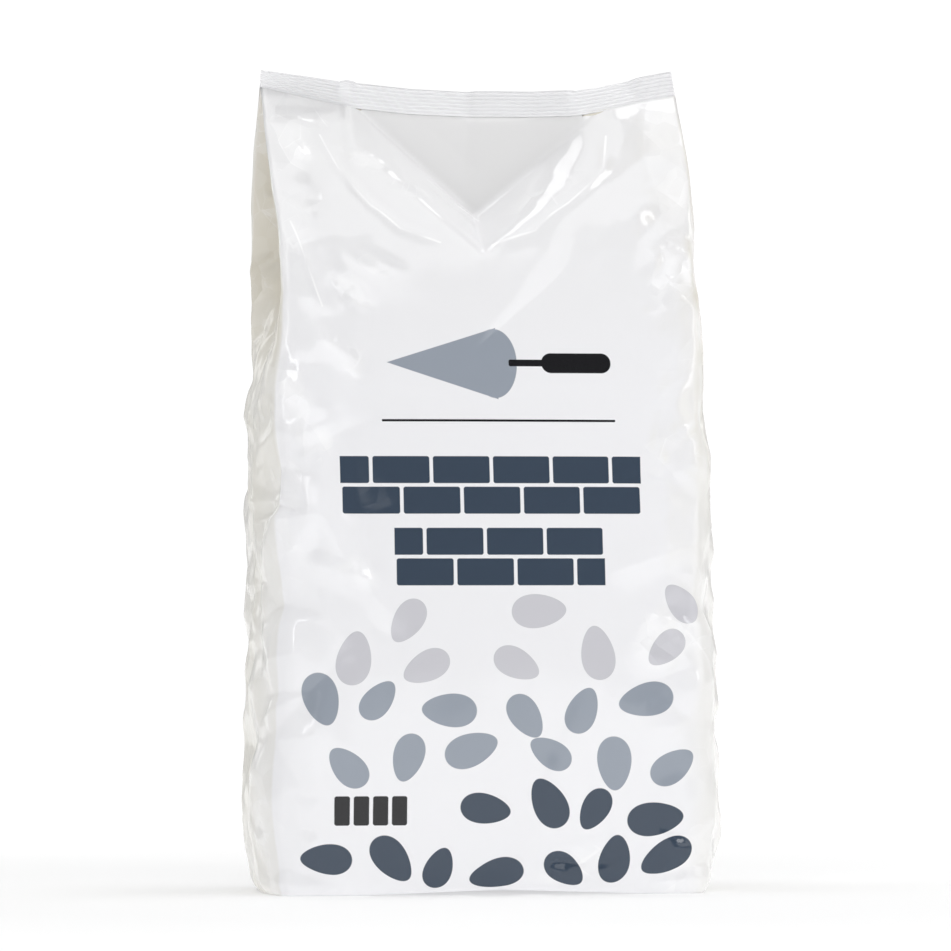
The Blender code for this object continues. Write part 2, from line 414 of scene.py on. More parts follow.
def ramp(value, low, high):
    """0 where the value is at low, 1 where it is at high, and straight between."""
    return np.clip((value - low) / (high - low), 0, 1)


def off_middle(step):
    """How far each column is from the middle of its panel: 0 in the middle, 1 at the edge, 2 on a side."""
    across, aside, _ = counts(step)
    panel = np.abs(np.linspace(-1, 1, across + 1)[:-1])
    return np.concatenate([panel, np.full(aside, 2.0), panel, np.full(aside, 2.0)])[None, :]


def from_edge(u):
    """Distance of places round the tube from the nearest upright edge."""
    return np.abs(u[..., None] - UPRIGHT_EDGES).min(axis=-1)


def crumpled_share(step):
    """How much handling has crumpled each place: the sides, the panels' edges and the two ends."""
    height = film_places(step)[1] / TUBE
    ends = ramp(height, *BOTTOM_END) + ramp(height, *TOP_END)
    return np.clip(ramp(off_middle(step), *PANEL_RIM) + ENDS_SHARE * ends, 0, 1)


def in_pocket(step):
    """1 where the front has the shape of the pocket, fading to 0 round it."""
    u, v = film_places(step)
    near = ramp(v / TUBE, *POCKET_HEIGHT) * ramp(np.abs(u - PANEL / 2), *POCKET_WIDTH)
    return near * (u < PANEL)


def waviness(places, shortest, longest, seed, number=48):
    """A smooth random field with about unit spread at places in metres."""
    random = np.random.default_rng(seed)
    total = np.zeros(places[0].shape)
    for _ in range(number):
        turn, phase = random.uniform(0, 2 * math.pi, 2)
        k = 2 * math.pi / random.uniform(shortest, longest)
        total += np.sin(k * (math.cos(turn) * places[0] + math.sin(turn) * places[1]) + phase)
    return total * math.sqrt(2 / number)


def with_ends_held(held, step):
    """The same weights with the pocket and the two welds held firmly."""
    held = np.maximum(held, POCKET_HELD * in_pocket(step))
    held[-2] = np.maximum(held[-2], NEXT_TO_WELD)
    held[[0, -1]] = 1
    return held


def first_hold(step):
    """In the first run the fill holds the lower body, and the sides are free where they fold in."""
    height = film_places(step)[1] / TUBE
    away = off_middle(step)
    body = HOLD * ramp(height, *BODY_HELD) * np.where(away > 1, ramp(height, *SIDES_HELD), 1)
    top = HOLD * ramp(height, *TOP_HELD) * (away <= 1)
    return with_ends_held(np.maximum(body, top), step)


def second_hold(step):
    """In the second run all of the film lies on a bed, which is firm under the flat panels."""
    bed = SOFT_BED + (FIRM_BED - SOFT_BED) * ramp(off_middle(step), *BED_WIDTH)
    return with_ends_held(bed * np.ones_like(film_places(step)[0]), step)


def spare_film(step):
    """Share of the most spare film that there is at each place, in patches."""
    slack = np.clip(0.8 + 0.6 * waviness(film_places(step), 25 * MM, 60 * MM, 7), 0, 1)
    return crumpled_share(step) * slack


def outwards(step):
    """The direction out of the flat tube at each point."""
    cut = cut_film(step)
    return np.where(off_middle(step)[..., None] > 1, np.sign(cut) * (1, 0, 0), np.sign(cut) * (0, 1, 0))


def cubic(points, at, wrap):
    """Rows of an array read at places between them, on a smooth curve."""
    low = np.floor(at).astype(int)
    t = (at - low).reshape(-1, *[1] * (points.ndim - 1))
    last = len(points) - 1
    rows = [(low + k) % len(points) if wrap else np.clip(low + k, 0, last) for k in (-1, 0, 1, 2)]
    a, b, c, d = (points[row] for row in rows)
    return b + 0.5 * t * (c - a + t * (2 * a - 5 * b + 4 * c - d + t * (3 * (b - c) + d - a)))


def finer(points, start_step, step):
    """The points of a coarse film read at the places of a finer one."""
    old, new = counts(start_step), counts(step)
    ends = np.cumsum([0, old[0], old[1], old[0], old[1]])
    sizes = (new[0], new[1], new[0], new[1])
    spans = zip(ends, ends[1:], sizes)
    columns = np.concatenate([np.linspace(first, last, size + 1)[:-1] for first, last, size in spans])
    wide = cubic(points.swapaxes(0, 1), columns, True).swapaxes(0, 1)
    return cubic(wide, np.linspace(0, old[2], new[2] + 1), False)


def evened(moves):
    """The same displacements averaged with their neighbours a few times."""
    for _ in range(EVENINGS):
        moves = 0.5 * moves + 0.25 * (np.roll(moves, 1, axis=1) + np.roll(moves, -1, axis=1))
        moves[1:-1] = 0.5 * moves[1:-1] + 0.25 * (moves[:-2] + moves[2:])
    return moves


def first_run():
    """The coarse film, pressed out by the fill."""
    height = film_places(COARSE)[1]
    full = ramp(height / TUBE, *PRESSED) * (1 - LESS_PRESSED_UP * height / TUBE)
    none = np.zeros_like(height)
    return settle(standing_film(COARSE), cut_film(COARSE), first_hold(COARSE), full, none, COARSE_FRAMES)


def second_run(coarse):
    """The film on the middle grid, which buckles from the first run's shape and some small dents."""
    start = finer(coarse, COARSE, MIDDLE)
    dents = DENT * waviness(film_places(MIDDLE), SHORTEST_DENT, LONGEST_DENT, 1) * crumpled_share(MIDDLE)
    dents[[0, -1]] = 0
    start += outwards(MIDDLE) * dents[..., None]
    none = np.zeros_like(dents)
    return settle(start, cut_film(MIDDLE), second_hold(MIDDLE), none, spare_film(MIDDLE), MIDDLE_FRAMES)


def calm_share():
    """1 where the film keeps the first run's shape: on the flat panels, at their edges, at the top."""
    u, v = film_places(FINE)
    panels = ramp(off_middle(FINE), *CALM_PANEL) * ramp(v / TUBE, *CALM_HEIGHT)
    edges = CALM_EDGE_SHARE * ramp(from_edge(u), *CALM_EDGE)
    return np.maximum(np.maximum(panels, edges), ramp(v, *CALM_TOP))


def settled_film():
    """The film on the fine grid after both runs."""
    standing = standing_film(FINE)
    coarse = first_run()
    middle = second_run(coarse)
    smooth = standing + finer(evened(coarse - standing_film(COARSE)), COARSE, FINE)
    calm, pressed_in = calm_share()[..., None], in_pocket(FINE)[..., None]
    fine = finer(middle, MIDDLE, FINE) * (1 - calm) + smooth * calm
    fine = fine * (1 - pressed_in) + standing * pressed_in
    fine[[0, -1]] = standing[[0, -1]]
    return fine


film_points = settled_film()
low, high = film_points.min(axis=(0, 1)), film_points.max(axis=(0, 1))
print("film grid:", film_points.shape[:2], "box, mm:", np.round(low / MM, 1), np.round(high / MM, 1))

# %% [markdown]
# The solver's grid is too coarse for the sharpest creases, so they are drawn on the settled film. A
# crease is a short straight crest with two slopes that die out, and thin film that is crushed and
# smoothed out again is covered with them. Most are scattered by chance, more of them where the film is
# crumpled. A few are listed, because they are the ones that catch the light: below the weld, round the
# pocket, and at the lower corners. So are the dents beside the upright edges, which are hollows with
# flat sides that meet in a point.

# %% Sharp creases
SEAM_AT, SEAM_WIDTH, SEAM_HEIGHT = 1.5 * PANEL + SIDE, 12 * MM, 0.6 * MM
SLOPE_POWER = 1.5

# Creases scattered by chance: how many, then the spans of their lengths, widths and heights in
# millimetres, and a seed
SCATTERED = [
    (60, ((30, 80), (8, 16), (0.7, 1.7)), 3),
    (90, ((12, 36), (3.6, 7), (0.3, 0.8)), 4),
    (120, ((5, 16), (2.2, 3.6), (0.1, 0.3)), 5),
]

# Creases that catch the light: places along them, round the tube and up it, then their width and their
# height, in millimetres. The shader paints the first ones white along their crests: whitening and a
# painted highlight.
PLACED_CREASES = [
    (((23, 331), (28, 317), (38, 300), (51, 289), (70, 283)), 3.2, 0.7),
    (((5, 289), (10, 272), (17, 253)), 3.2, 0.7),
    (((70, 315), (80, 303), (93, 295)), 3.0, 0.5),
    (((149, 335), (147, 319), (133, 303), (117, 289), (96, 282)), 4.0, 0.9),
    (((64, 312), (77, 299), (91, 290)), 3.0, 0.4),
    (((35, 325), (42, 323), (49, 319)), 4.0, 0.7),
    (((47, 314), (58, 310), (66, 305)), 4.5, 0.8),
    (((32, 277), (40, 274), (51, 267)), 4.5, 0.8),
    (((21, 268), (26, 261), (33, 253), (42, 251)), 4.5, 0.8),
    (((7, 331), (16, 319)), 4.0, 0.6),
    (((21, 341), (38, 345), (24, 334)), 3.5, 0.6),
    (((541, 144), (551, 142), (564, 137), (574, 135)), 5.0, 0.7),
    (((488, 170), (528, 168), (542, 170)), 6.0, 1.2),
    (((542, 168), (553, 154), (583, 114)), 9.0, 0.9),
    (((448, 268), (464, 277)), 4.0, 0.8),
]

# Dents with a sharp apex and flat sides: their corners and their apex, round the tube and up it, then
# their depth, in millimetres. One stands out instead.
PLACED_DENTS = [
    (((15, 164), (-30, 159), (-26, 190), (-2, 199)), (-4, 167), 4.2),
    (((-2, 199), (-20, 192), (-30, 232), (6, 245)), (-7, 205), 0.9),
    (((20, 120), (-24, 112), (-22, 148), (2, 158)), (-3, 124), 2.4),
    (((15, 88), (-20, 74), (-28, 108), (4, 112)), (-6, 86), 2.2),
    (((26, 5), (-14, 6), (-16, 34), (8, 46)), (3, 12), 2.6),
    (((42, 130), (24, 150), (30, 196), (52, 168)), (34, 160), 1.0),
    (((178, 286), (196, 290), (192, 262), (180, 254)), (183, 272), 1.8),
    (((166, 198), (194, 190), (196, 228), (180, 236)), (183, 206), 2.0),
    (((172, 118), (204, 108), (206, 142), (182, 152)), (185, 122), 2.4),
    (((158, 6), (196, 8), (196, 34), (176, 44)), (180, 14), 2.2),
    (((252, 100), (284, 92), (282, 130), (264, 142)), (266, 108), 2.4),
    (((252, 206), (292, 198), (288, 232), (262, 246)), (268, 212), 2.2),
    (((430, 60), (466, 56), (464, 92), (440, 98)), (449, 68), 2.4),
    (((428, 178), (468, 170), (462, 214), (440, 220)), (448, 184), 2.4),
    (((214, 48), (246, 60), (238, 92), (208, 84)), (222, 62), 2.0),
    (((480, 40), (512, 52), (506, 88), (474, 80)), (488, 56), 2.0),
    (((-20, 200), (-78, 198), (-88, 254), (-24, 262)), (-58, 232), -2.6),
    (((176, 132), (206, 128), (208, 166), (180, 170)), (190, 148), 1.8),
    (((-3, 3), (-30, 5), (-26, 27), (-5, 24)), (-15, 9), 1.8),
    (((3, 3), (26, 4), (20, 24), (3, 22)), (12, 9), 1.1),
    (((-32, 4), (-58, 6), (-54, 32), (-34, 30)), (-44, 12), 1.8),
]

# Patches that are crumpled more than the rest: middle, half length, half width, and turn in degrees
CRUMPLED_PATCHES = [
    (126, 307, 34, 9, 43), (173, 322, 24, 8, 90), (172, 268, 20, 12, 60), (166, 187, 16, 12, 30),
    (160, 113, 18, 14, 50), (42, 322, 12, 5, -20), (57, 309, 14, 5, -20), (42, 272, 15, 6, -25),
    (30, 259, 15, 7, -50), (12, 325, 9, 4, -55), (28, 230, 18, 9, -60), (14, 205, 22, 10, -70),
    (20, 150, 26, 12, -40), (30, 340, 14, 5, 10), (6, 20, 16, 14, 0), (176, 18, 16, 16, 0),
    (128, 14, 24, 8, 20),
]


def edge_calm(u):
    """Small at the four upright edges, where the film is drawn tight, and 1 away from them."""
    return 0.25 + 0.75 * ramp(from_edge(u), 3 * MM, 17 * MM)


def around_tube(du):
    """A difference between two places round the tube, by the shorter way."""
    return (du + ROUND_TUBE / 2) % ROUND_TUBE - ROUND_TUBE / 2


def patches(places):
    """1 in the middle of the crumpled patches, fading to 0 at their borders."""
    total = np.zeros_like(places[0])
    for u, v, half_length, half_width, turn in CRUMPLED_PATCHES:
        du, dv = around_tube(places[0] - u * MM), places[1] - v * MM
        cos, sin = math.cos(math.radians(turn)), math.sin(math.radians(turn))
        along, aside = du * cos + dv * sin, dv * cos - du * sin
        reach = np.hypot(along / half_length, aside / half_width) / MM
        total = np.maximum(total, ramp(reach, 1.15, 0.5))
    return total


def crease(places, first, last, width, height):
    """A crest between two places on the film, which dies out towards both."""
    along = np.subtract(last, first)
    length = math.hypot(*along)
    du = around_tube(places[0] - (first[0] + last[0]) / 2)
    dv = places[1] - (first[1] + last[1]) / 2
    forward = (du * along[0] + dv * along[1]) / length
    aside = (dv * along[0] - du * along[1]) / length
    slopes = np.clip(1 - np.abs(aside) / width, 0, 1) ** SLOPE_POWER
    return height * np.clip(1 - (2 * forward / length) ** 2, 0, 1) * slopes


def bent_crease(places, points, width, height):
    """A crest along several places, highest in its middle."""
    points = np.array(points) * MM
    lengths = np.linalg.norm(np.diff(points, axis=0), axis=1)
    before = np.concatenate([[0], np.cumsum(lengths)])
    best = np.zeros_like(places[0])
    for k, length in enumerate(lengths):
        du, dv = around_tube(places[0] - points[k, 0]), places[1] - points[k, 1]
        way = (points[k + 1] - points[k]) / length
        forward = np.clip(du * way[0] + dv * way[1], 0, length)
        off = np.hypot(du - forward * way[0], dv - forward * way[1])
        share = 2 * (before[k] + forward) / before[-1] - 1
        slopes = np.clip(1 - off / width, 0, 1) ** SLOPE_POWER
        best = np.maximum(best, slopes * np.clip(1 - share**4, 0, 1))
    return height * best


def dent(places, corners, apex, depth):
    """A hollow with flat sides that meet in its apex."""
    hollow = np.zeros_like(places[0])
    apex = np.array(apex) * MM
    x, y = around_tube(places[0] - apex[0]), places[1] - apex[1]
    for first, second in zip(corners, corners[1:] + corners[:1]):
        (ax, ay), (bx, by) = np.array(first) * MM - apex, np.array(second) * MM - apex
        area = ax * by - ay * bx
        s, t = (x * by - y * bx) / area, (y * ax - x * ay) / area
        inside = (s >= 0) & (t >= 0)
        hollow[inside] = np.maximum(1 - s - t, 0)[inside]
    return -depth * MM * hollow


def scattered(places, share, count, spans, seed):
    """Creases at random places, kept with a chance that is the share there."""
    random = np.random.default_rng(seed)
    rows, columns = share.shape
    total = np.zeros_like(share)
    kept = 0
    while kept < count:
        row, column = random.integers(rows), random.integers(columns)
        turn = random.uniform(0, math.pi)
        length, width, height = (random.uniform(low * MM, high * MM) for low, high in spans)
        sign = random.choice((-1, 1))
        if random.uniform() > share[row, column]:
            continue
        kept += 1
        half = np.array([math.cos(turn), math.sin(turn)]) * length / 2
        middle = np.array([places[0][row, column], places[1][row, column]])
        total += crease(places, middle - half, middle + half, width, sign * height)
    return total


# %% [markdown]
# Crushed film lies in flat facets with a sharp fold between each two. Random heights at scattered knots,
# joined by flat triangles, give just that. Four sizes of facets are laid over each other: broad ones of
# 42 mm all over the bag, ones of 15 mm where it is crumpled, ones of 7 mm on top of these, and ones of
# 24 mm beside the upright edges, where the powder holds the film least.

# %% Facets
KNOT_SHIFT = 0.38


def facet_knots(spacing, seed):
    """Scattered knots that repeat round the tube: their places, their heights, and how squares are cut."""
    random = np.random.default_rng(seed)
    across, up = round(ROUND_TUBE / spacing), round(TUBE / spacing)
    shift = random.uniform(-KNOT_SHIFT, KNOT_SHIFT, (up + 3, across, 2))
    height = random.normal(0, 1, (up + 3, across))
    diagonals = random.integers(0, 2, (up + 2, across + 2))
    columns = np.arange(-1, across + 2)
    knots = np.stack(np.meshgrid(columns, np.arange(-1, up + 2)), axis=2) + shift[:, columns % across]
    return knots * (ROUND_TUBE / across, TUBE / up), height[:, columns % across], diagonals


def facets(places, spacing, seed):
    """A field of flat triangles over the film, with about unit spread."""
    knots, heights, diagonals = facet_knots(spacing, seed)
    u, v = places[0][0], places[1][:, 0]
    field = np.zeros_like(places[0])
    for (row, column), split in np.ndenumerate(diagonals):
        corners = [(row, column), (row, column + 1), (row + 1, column + 1), (row + 1, column)]
        order = ((0, 1, 2), (0, 2, 3)) if split else ((0, 1, 3), (1, 2, 3))
        for triple in order:
            a, b, c = (knots[corners[k]] for k in triple)
            levels = [heights[corners[k]] for k in triple]
            low, high = np.minimum(np.minimum(a, b), c), np.maximum(np.maximum(a, b), c)
            i0, i1 = np.searchsorted(v, (low[1], high[1]))
            j0, j1 = np.searchsorted(u, (low[0], high[0]))
            if i0 == i1 or j0 == j1:
                continue
            x, y = np.meshgrid(u[j0:j1] - a[0], v[i0:i1] - a[1])
            (bx, by), (cx, cy) = b - a, c - a
            area = bx * cy - by * cx
            s, t = (x * cy - y * cx) / area, (y * bx - x * by) / area
            inside = (s >= 0) & (t >= 0) & (s + t <= 1)
            value = levels[0] + s * (levels[1] - levels[0]) + t * (levels[2] - levels[0])
            field[i0:i1, j0:j1][inside] = value[inside]
    return field


# %% Draw the creases on the settled film
BROAD, BROAD_HEIGHT = 42 * MM, 0.4 * MM
FACET, FACET_HEIGHT = 15 * MM, 0.85 * MM
FINE_FACET, FINE_FACET_HEIGHT = 7 * MM, 0.2 * MM
CORNER_FACET, CORNER_FACET_HEIGHTS = 24 * MM, (1.4 * MM, 0.9 * MM, 1.3 * MM, 1.3 * MM)
CORNER_REACH, CORNER_FOOT, CORNER_TOP = (34 * MM, 12 * MM), (20 * MM, 60 * MM), (300 * MM, 240 * MM)

# How much of the crumpling there is: by handling, less in the pocket and in the tight middle of the front,
# a little anywhere, and least where the sides fold in under the weld
HANDLED, CALMER_POCKET, CALMER_FRONT, TIGHT = 0.8, 0.7, 0.85, (64 * MM, 44 * MM)
ANYWHERE, LESS_IN_POCKET = 0.015, 0.8
SIDE_TOP, SIDE_LEAST = (TUBE - 20 * MM, TUBE - 60 * MM), 0.15
SEAM_SLOPE, FADE_AT_ENDS = 0.8 * MM, 6 * MM

# How far the bag's two flanks stand out beyond the settled film
WIDER_LEFT, WIDER_RIGHT, WIDER_FROM, WIDER_FADE = 0.9 * MM, 1.8 * MM, (50 * MM, 92 * MM), 40 * MM


def in_front():
    """1 in the middle of the front, which the fill draws tight, fading to 0 towards its edges."""
    return ramp(np.abs(film_places(FINE)[0] - PANEL / 2), *TIGHT)


def crumpled_here():
    """How crumpled each place of the fine grid is, by handling and in the patches."""
    calmer = (1 - CALMER_POCKET * in_pocket(FINE)) * (1 - CALMER_FRONT * in_front())
    return np.clip(HANDLED * crumpled_share(FINE) * calmer + patches(film_places(FINE)), 0, 1)


def grid_normals(points):
    """Outward unit normals of the film."""
    around = np.roll(points, -1, axis=1) - np.roll(points, 1, axis=1)
    up = np.gradient(points, axis=0)
    normals = np.cross(around, up)
    return normals / np.linalg.norm(normals, axis=2, keepdims=True)


def corner_facets(places):
    """Facets beside the upright edges, where the powder holds the film least."""
    total = np.zeros_like(places[0])
    for k, (edge, height) in enumerate(zip(UPRIGHT_EDGES, CORNER_FACET_HEIGHTS)):
        near = ramp(np.abs(around_tube(places[0] - edge)), *CORNER_REACH)
        near *= ramp(places[1], *CORNER_FOOT) * ramp(places[1], *CORNER_TOP)
        total += height * near * facets(places, CORNER_FACET, 24 + k)
    return total


def creased(points):
    """The film with its creases, its facets, its dents and the lap seam up its back."""
    places = u, v = film_places(FINE)
    handled = crumpled_here()
    share = np.clip(handled + ANYWHERE * (1 - in_front()), 0, 1)
    total = sum(scattered(places, share, *kind) for kind in SCATTERED)
    total += BROAD_HEIGHT * facets(places, BROAD, 21)
    small = FACET_HEIGHT * facets(places, FACET, 22) + FINE_FACET_HEIGHT * facets(places, FINE_FACET, 23)
    total += handled * small
    total *= edge_calm(u) * (1 - LESS_IN_POCKET * in_pocket(FINE) * in_front())
    total += corner_facets(places)
    for points_along, width, height in PLACED_CREASES:
        total += bent_crease(places, points_along, width * MM, height * MM)
    for corners, apex, depth in PLACED_DENTS:
        total += dent(places, corners, apex, depth)
    total *= np.where(off_middle(FINE) > 1, ramp(v, *SIDE_TOP) * (1 - SIDE_LEAST) + SIDE_LEAST, 1)
    off_seam = np.abs(u - SEAM_AT) - SEAM_WIDTH / 2
    total += SEAM_HEIGHT * ramp(off_seam, SEAM_SLOPE, -SEAM_SLOPE)
    total *= ramp(v, 0, FADE_AT_ENDS) * ramp(v, TUBE, TUBE - FADE_AT_ENDS)
    drawn = points + grid_normals(points) * total[..., None]
    x = points[..., 0]
    wider = np.where(x > 0, WIDER_RIGHT, -WIDER_LEFT) * ramp(np.abs(x), *WIDER_FROM)
    drawn[..., 0] += wider * ramp(v, 0, WIDER_FADE) * ramp(v, TUBE, TUBE - WIDER_FADE)
    return drawn


film_points = creased(film_points)

# %% [markdown]
# ## Finishes
#
# Every finish here is a set of nodes. What several materials share is a node group with named inputs. The
# first one is the crumple. Film that was crushed and smoothed out again is covered with flat shards, too
# small to be worth a mesh, which break up every reflection. So the cells of a Voronoi pattern each tilt
# the normal their own way. Where the polyethylene was folded sharply it has gone white, and the same marks
# are painted highlights: some shards are painted paler, like lit facets, and some of their borders are
# thin white lines, like glints on sharp creases.

# %% Helpers for nodes
def new_group(name, inputs, outputs):
    """A shader node group with named sockets. Hands back its tree, its input node and its output node."""
    tree = bpy.data.node_groups.new(name, "ShaderNodeTree")
    for label, kind, value in inputs:
        socket = tree.interface.new_socket(name=label, in_out="INPUT", socket_type=kind)
        if value is not None:
            socket.default_value = value
    for label, kind in outputs:
        tree.interface.new_socket(name=label, in_out="OUTPUT", socket_type=kind)
    return tree, tree.nodes.new("NodeGroupInput"), tree.nodes.new("NodeGroupOutput")


def put(tree, target, value):
    """Links a socket to an input, or sets the input to a plain value."""
    if isinstance(value, bpy.types.NodeSocket):
        tree.links.new(value, target)
    else:
        target.default_value = value


def add_node(tree, kind, inputs=(), **settings):
    """A node with its settings and its inputs, given as pairs of name or number and value."""
    node = tree.nodes.new(kind)
    for name, value in settings.items():
        setattr(node, name, value)
    for key, value in inputs:
        put(tree, node.inputs[key], value)
    return node


def maths(tree, operation, *values, clamp=False):
    """The result of a Math node."""
    node = add_node(tree, "ShaderNodeMath", enumerate(values), operation=operation, use_clamp=clamp)
    return node.outputs[0]


def times(tree, first, *others):
    """The product of several values."""
    for value in others:
        first = maths(tree, "MULTIPLY", first, value)
    return first


def highest(tree, first, *others):
    """The largest of several values."""
    for value in others:
        first = maths(tree, "MAXIMUM", first, value)
    return first


def vectors(tree, operation, *values, output="Vector"):
    """The result of a Vector Math node."""
    return add_node(tree, "ShaderNodeVectorMath", enumerate(values), operation=operation).outputs[output]


def between(tree, value, low, high):
    """0 where the value is at low, 1 where it is at high."""
    return add_node(tree, "ShaderNodeMapRange", ((0, value), (1, low), (2, high)), clamp=True).outputs[0]


def mixed(tree, share, first, second):
    """Two colours mixed by a share."""
    inputs = ((0, share), (6, first), (7, second))
    return add_node(tree, "ShaderNodeMix", inputs, data_type="RGBA").outputs[2]


def scaled(tree, vector, factor):
    """A vector times a number."""
    inputs = ((0, vector), ("Scale", factor))
    return add_node(tree, "ShaderNodeVectorMath", inputs, operation="SCALE").outputs[0]


def rotated(tree, vector, angle, axis):
    """A vector turned round an axis."""
    inputs = (("Vector", vector), ("Angle", angle))
    return add_node(tree, "ShaderNodeVectorRotate", inputs, rotation_type=axis).outputs[0]


def point(tree, x, y):
    """Two numbers as a vector."""
    return add_node(tree, "ShaderNodeCombineXYZ", ((0, x), (1, y))).outputs[0]


def numbers_of(tree, vector):
    """The three numbers of a vector."""
    return add_node(tree, "ShaderNodeSeparateXYZ", ((0, vector),)).outputs


def clouds(tree, place, scale, detail=1.0):
    """A soft random pattern, with about so many clouds to the metre."""
    return add_node(tree, "ShaderNodeTexNoise", (("Vector", place), ("Scale", scale), ("Detail", detail)))


FLOAT, VECTOR, COLOUR = "NodeSocketFloat", "NodeSocketVector", "NodeSocketColor"

# %% The crumple group
WARP, PATCHY, PATCH_FADE = 0.007, 0.56, 0.14
MIDDLE_GREY = (0.5, 0.5, 0.5)

# Two layers of shards: how much finer, how strong, how far turned, and how wide their borders are
SHARD_LAYERS = ((1.0, 1.0, 0.9, 0.05), (2.3, 0.6, -0.8, 0.08))

# Spans of a random number: the folds that go white, the places where they may, and the paler shards;
# all of it whitening and painted highlight at once
WHITE_FOLDS, WHITE_PLACES, PALE_SHARDS, PALENESS = (0.7, 0.72), (0.5, 0.58), (0.62, 0.64), 0.55
# How crumpled the film must be to go paler all over, and how much: wear and painted sheen
WORN_AND_SHEEN_FROM, WORN_AND_SHEEN = 0.7, 0.45


def shards(tree, place, turn, scale):
    """A layer of long flat shards: a random colour for each, and the distance to its border."""
    stretched = vectors(tree, "MULTIPLY", rotated(tree, place, turn, "Y_AXIS"), (1.0, 1.0, 0.5))
    inputs = (("Vector", stretched), ("Scale", scale))
    flat = add_node(tree, "ShaderNodeTexVoronoi", inputs)
    border = add_node(tree, "ShaderNodeTexVoronoi", inputs, feature="DISTANCE_TO_EDGE")
    return flat.outputs["Color"], border.outputs["Distance"]


def crumple_group():
    """Film crushed and smoothed out: a normal that tilts from shard to shard, and white folds and pale
    shards that are also painted highlights.
    """
    sockets = [
        ("Vector", VECTOR, None), ("Shards per Metre", FLOAT, 75.0), ("Tilt", FLOAT, 0.24),
        ("Amount", FLOAT, 1.0), ("Least", FLOAT, 0.0),
    ]
    tree, given, out = new_group("Crumple", sockets, [("Normal", VECTOR), ("WhiteningAndGlints", FLOAT)])
    place, asked = given.outputs["Vector"], given.outputs["Amount"]
    warp = clouds(tree, place, 40.0)
    shift = vectors(tree, "SUBTRACT", warp.outputs["Color"], MIDDLE_GREY)
    bent = vectors(tree, "MULTIPLY_ADD", shift, (WARP, WARP, WARP), place)
    start = maths(tree, "MULTIPLY_ADD", asked, -0.2, PATCHY)
    full = maths(tree, "ADD", start, PATCH_FADE)
    amount = times(tree, asked, between(tree, clouds(tree, place, 30.0).outputs["Fac"], start, full))
    tilted = times(tree, highest(tree, amount, given.outputs["Least"]), given.outputs["Tilt"])
    normal = tree.nodes.new("ShaderNodeNewGeometry").outputs["Normal"]
    white = 0.0
    for finer_by, share, turn, line in SHARD_LAYERS:
        scale = times(tree, given.outputs["Shards per Metre"], finer_by)
        colour, border = shards(tree, bent, turn, scale)
        tilt = vectors(tree, "SUBTRACT", colour, MIDDLE_GREY)
        normal = vectors(tree, "ADD", normal, scaled(tree, tilt, times(tree, tilted, share)))
        red, green, _ = add_node(tree, "ShaderNodeSeparateColor", ((0, colour),)).outputs
        folds = times(tree, between(tree, border, line, line / 3), between(tree, red, *WHITE_FOLDS))
        folds = times(tree, folds, between(tree, warp.outputs["Fac"], *WHITE_PLACES))
        pale = times(tree, between(tree, green, *PALE_SHARDS), PALENESS)
        white = maths(tree, "MULTIPLY_ADD", highest(tree, folds, pale), share, white)
    # The most crumpled places go paler: wear and painted sheen
    worn_and_sheen = times(tree, between(tree, amount, WORN_AND_SHEEN_FROM, 1.0), WORN_AND_SHEEN)
    white = maths(tree, "MULTIPLY", highest(tree, white, worn_and_sheen), amount, clamp=True)
    tree.links.new(vectors(tree, "NORMALIZE", normal), out.inputs["Normal"])
    tree.links.new(white, out.inputs["WhiteningAndGlints"])
    return tree


CRUMPLE = crumple_group()

# %% [markdown]
# The print is ink on the flat film, so it is drawn in the film's own measure: metres from the middle of
# the front panel, and metres up the tube. The front holds plain designs: a mason's trowel over a thin
# rule, two bands of brickwork, four small blocks, and a bed of pebbles that gets darker towards the
# floor. Each shape is a formula whose value is below zero inside it, which stays sharp at any distance.

# %% The print group
INK_EDGE, PRINT_MARGIN = 0.12 * MM, 2 * MM
INKS = {
    "Slate": (0.044, 0.064, 0.096, 1),
    "Grey": (0.31, 0.345, 0.40, 1),
    "Pale": (0.60, 0.597, 0.635, 1),
    "Black": (0.010, 0.010, 0.012, 1),
}
BRICK, COURSE, MORTAR, BRICK_CORNER = 25.6 * MM, 13 * MM, 1.5 * MM, 1.0 * MM


def rounded_box(tree, x, y, half_width, half_height, radius):
    """Signed distance to a box with round corners."""
    across = maths(tree, "SUBTRACT", maths(tree, "ABSOLUTE", x), half_width - radius)
    up = maths(tree, "SUBTRACT", maths(tree, "ABSOLUTE", y), half_height - radius)
    outer = point(tree, highest(tree, across, 0.0), highest(tree, up, 0.0))
    length = vectors(tree, "LENGTH", outer, output="Value")
    inner = maths(tree, "MINIMUM", highest(tree, across, up), 0.0)
    return maths(tree, "SUBTRACT", maths(tree, "ADD", length, inner), radius)


def moved(tree, value, by):
    """A coordinate measured from another origin."""
    return maths(tree, "SUBTRACT", value, by)


def inked(tree, distance):
    """1 inside a shape, 0 outside."""
    return between(tree, distance, INK_EDGE, -INK_EDGE)


def brickwork(tree, x, y, middle, width, brick, course, courses):
    """A band of bricks in running bond, with straight ends."""
    x, y = moved(tree, x, middle[0]), moved(tree, y, middle[1])
    height = course * courses
    from_foot = maths(tree, "ADD", y, height / 2)
    row = maths(tree, "FLOOR", maths(tree, "DIVIDE", from_foot, course))
    up = moved(tree, maths(tree, "WRAP", from_foot, course, 0.0), course / 2)
    shift = times(tree, maths(tree, "MODULO", maths(tree, "ABSOLUTE", row), 2.0), brick / 2)
    from_end = maths(tree, "ADD", maths(tree, "ADD", x, width / 2), shift)
    along = moved(tree, maths(tree, "WRAP", from_end, brick, 0.0), brick / 2)
    stone = rounded_box(tree, along, up, (brick - MORTAR) / 2, (course - MORTAR) / 2, BRICK_CORNER)
    band = rounded_box(tree, x, y, width / 2, height / 2, BRICK_CORNER)
    return inked(tree, highest(tree, stone, band))


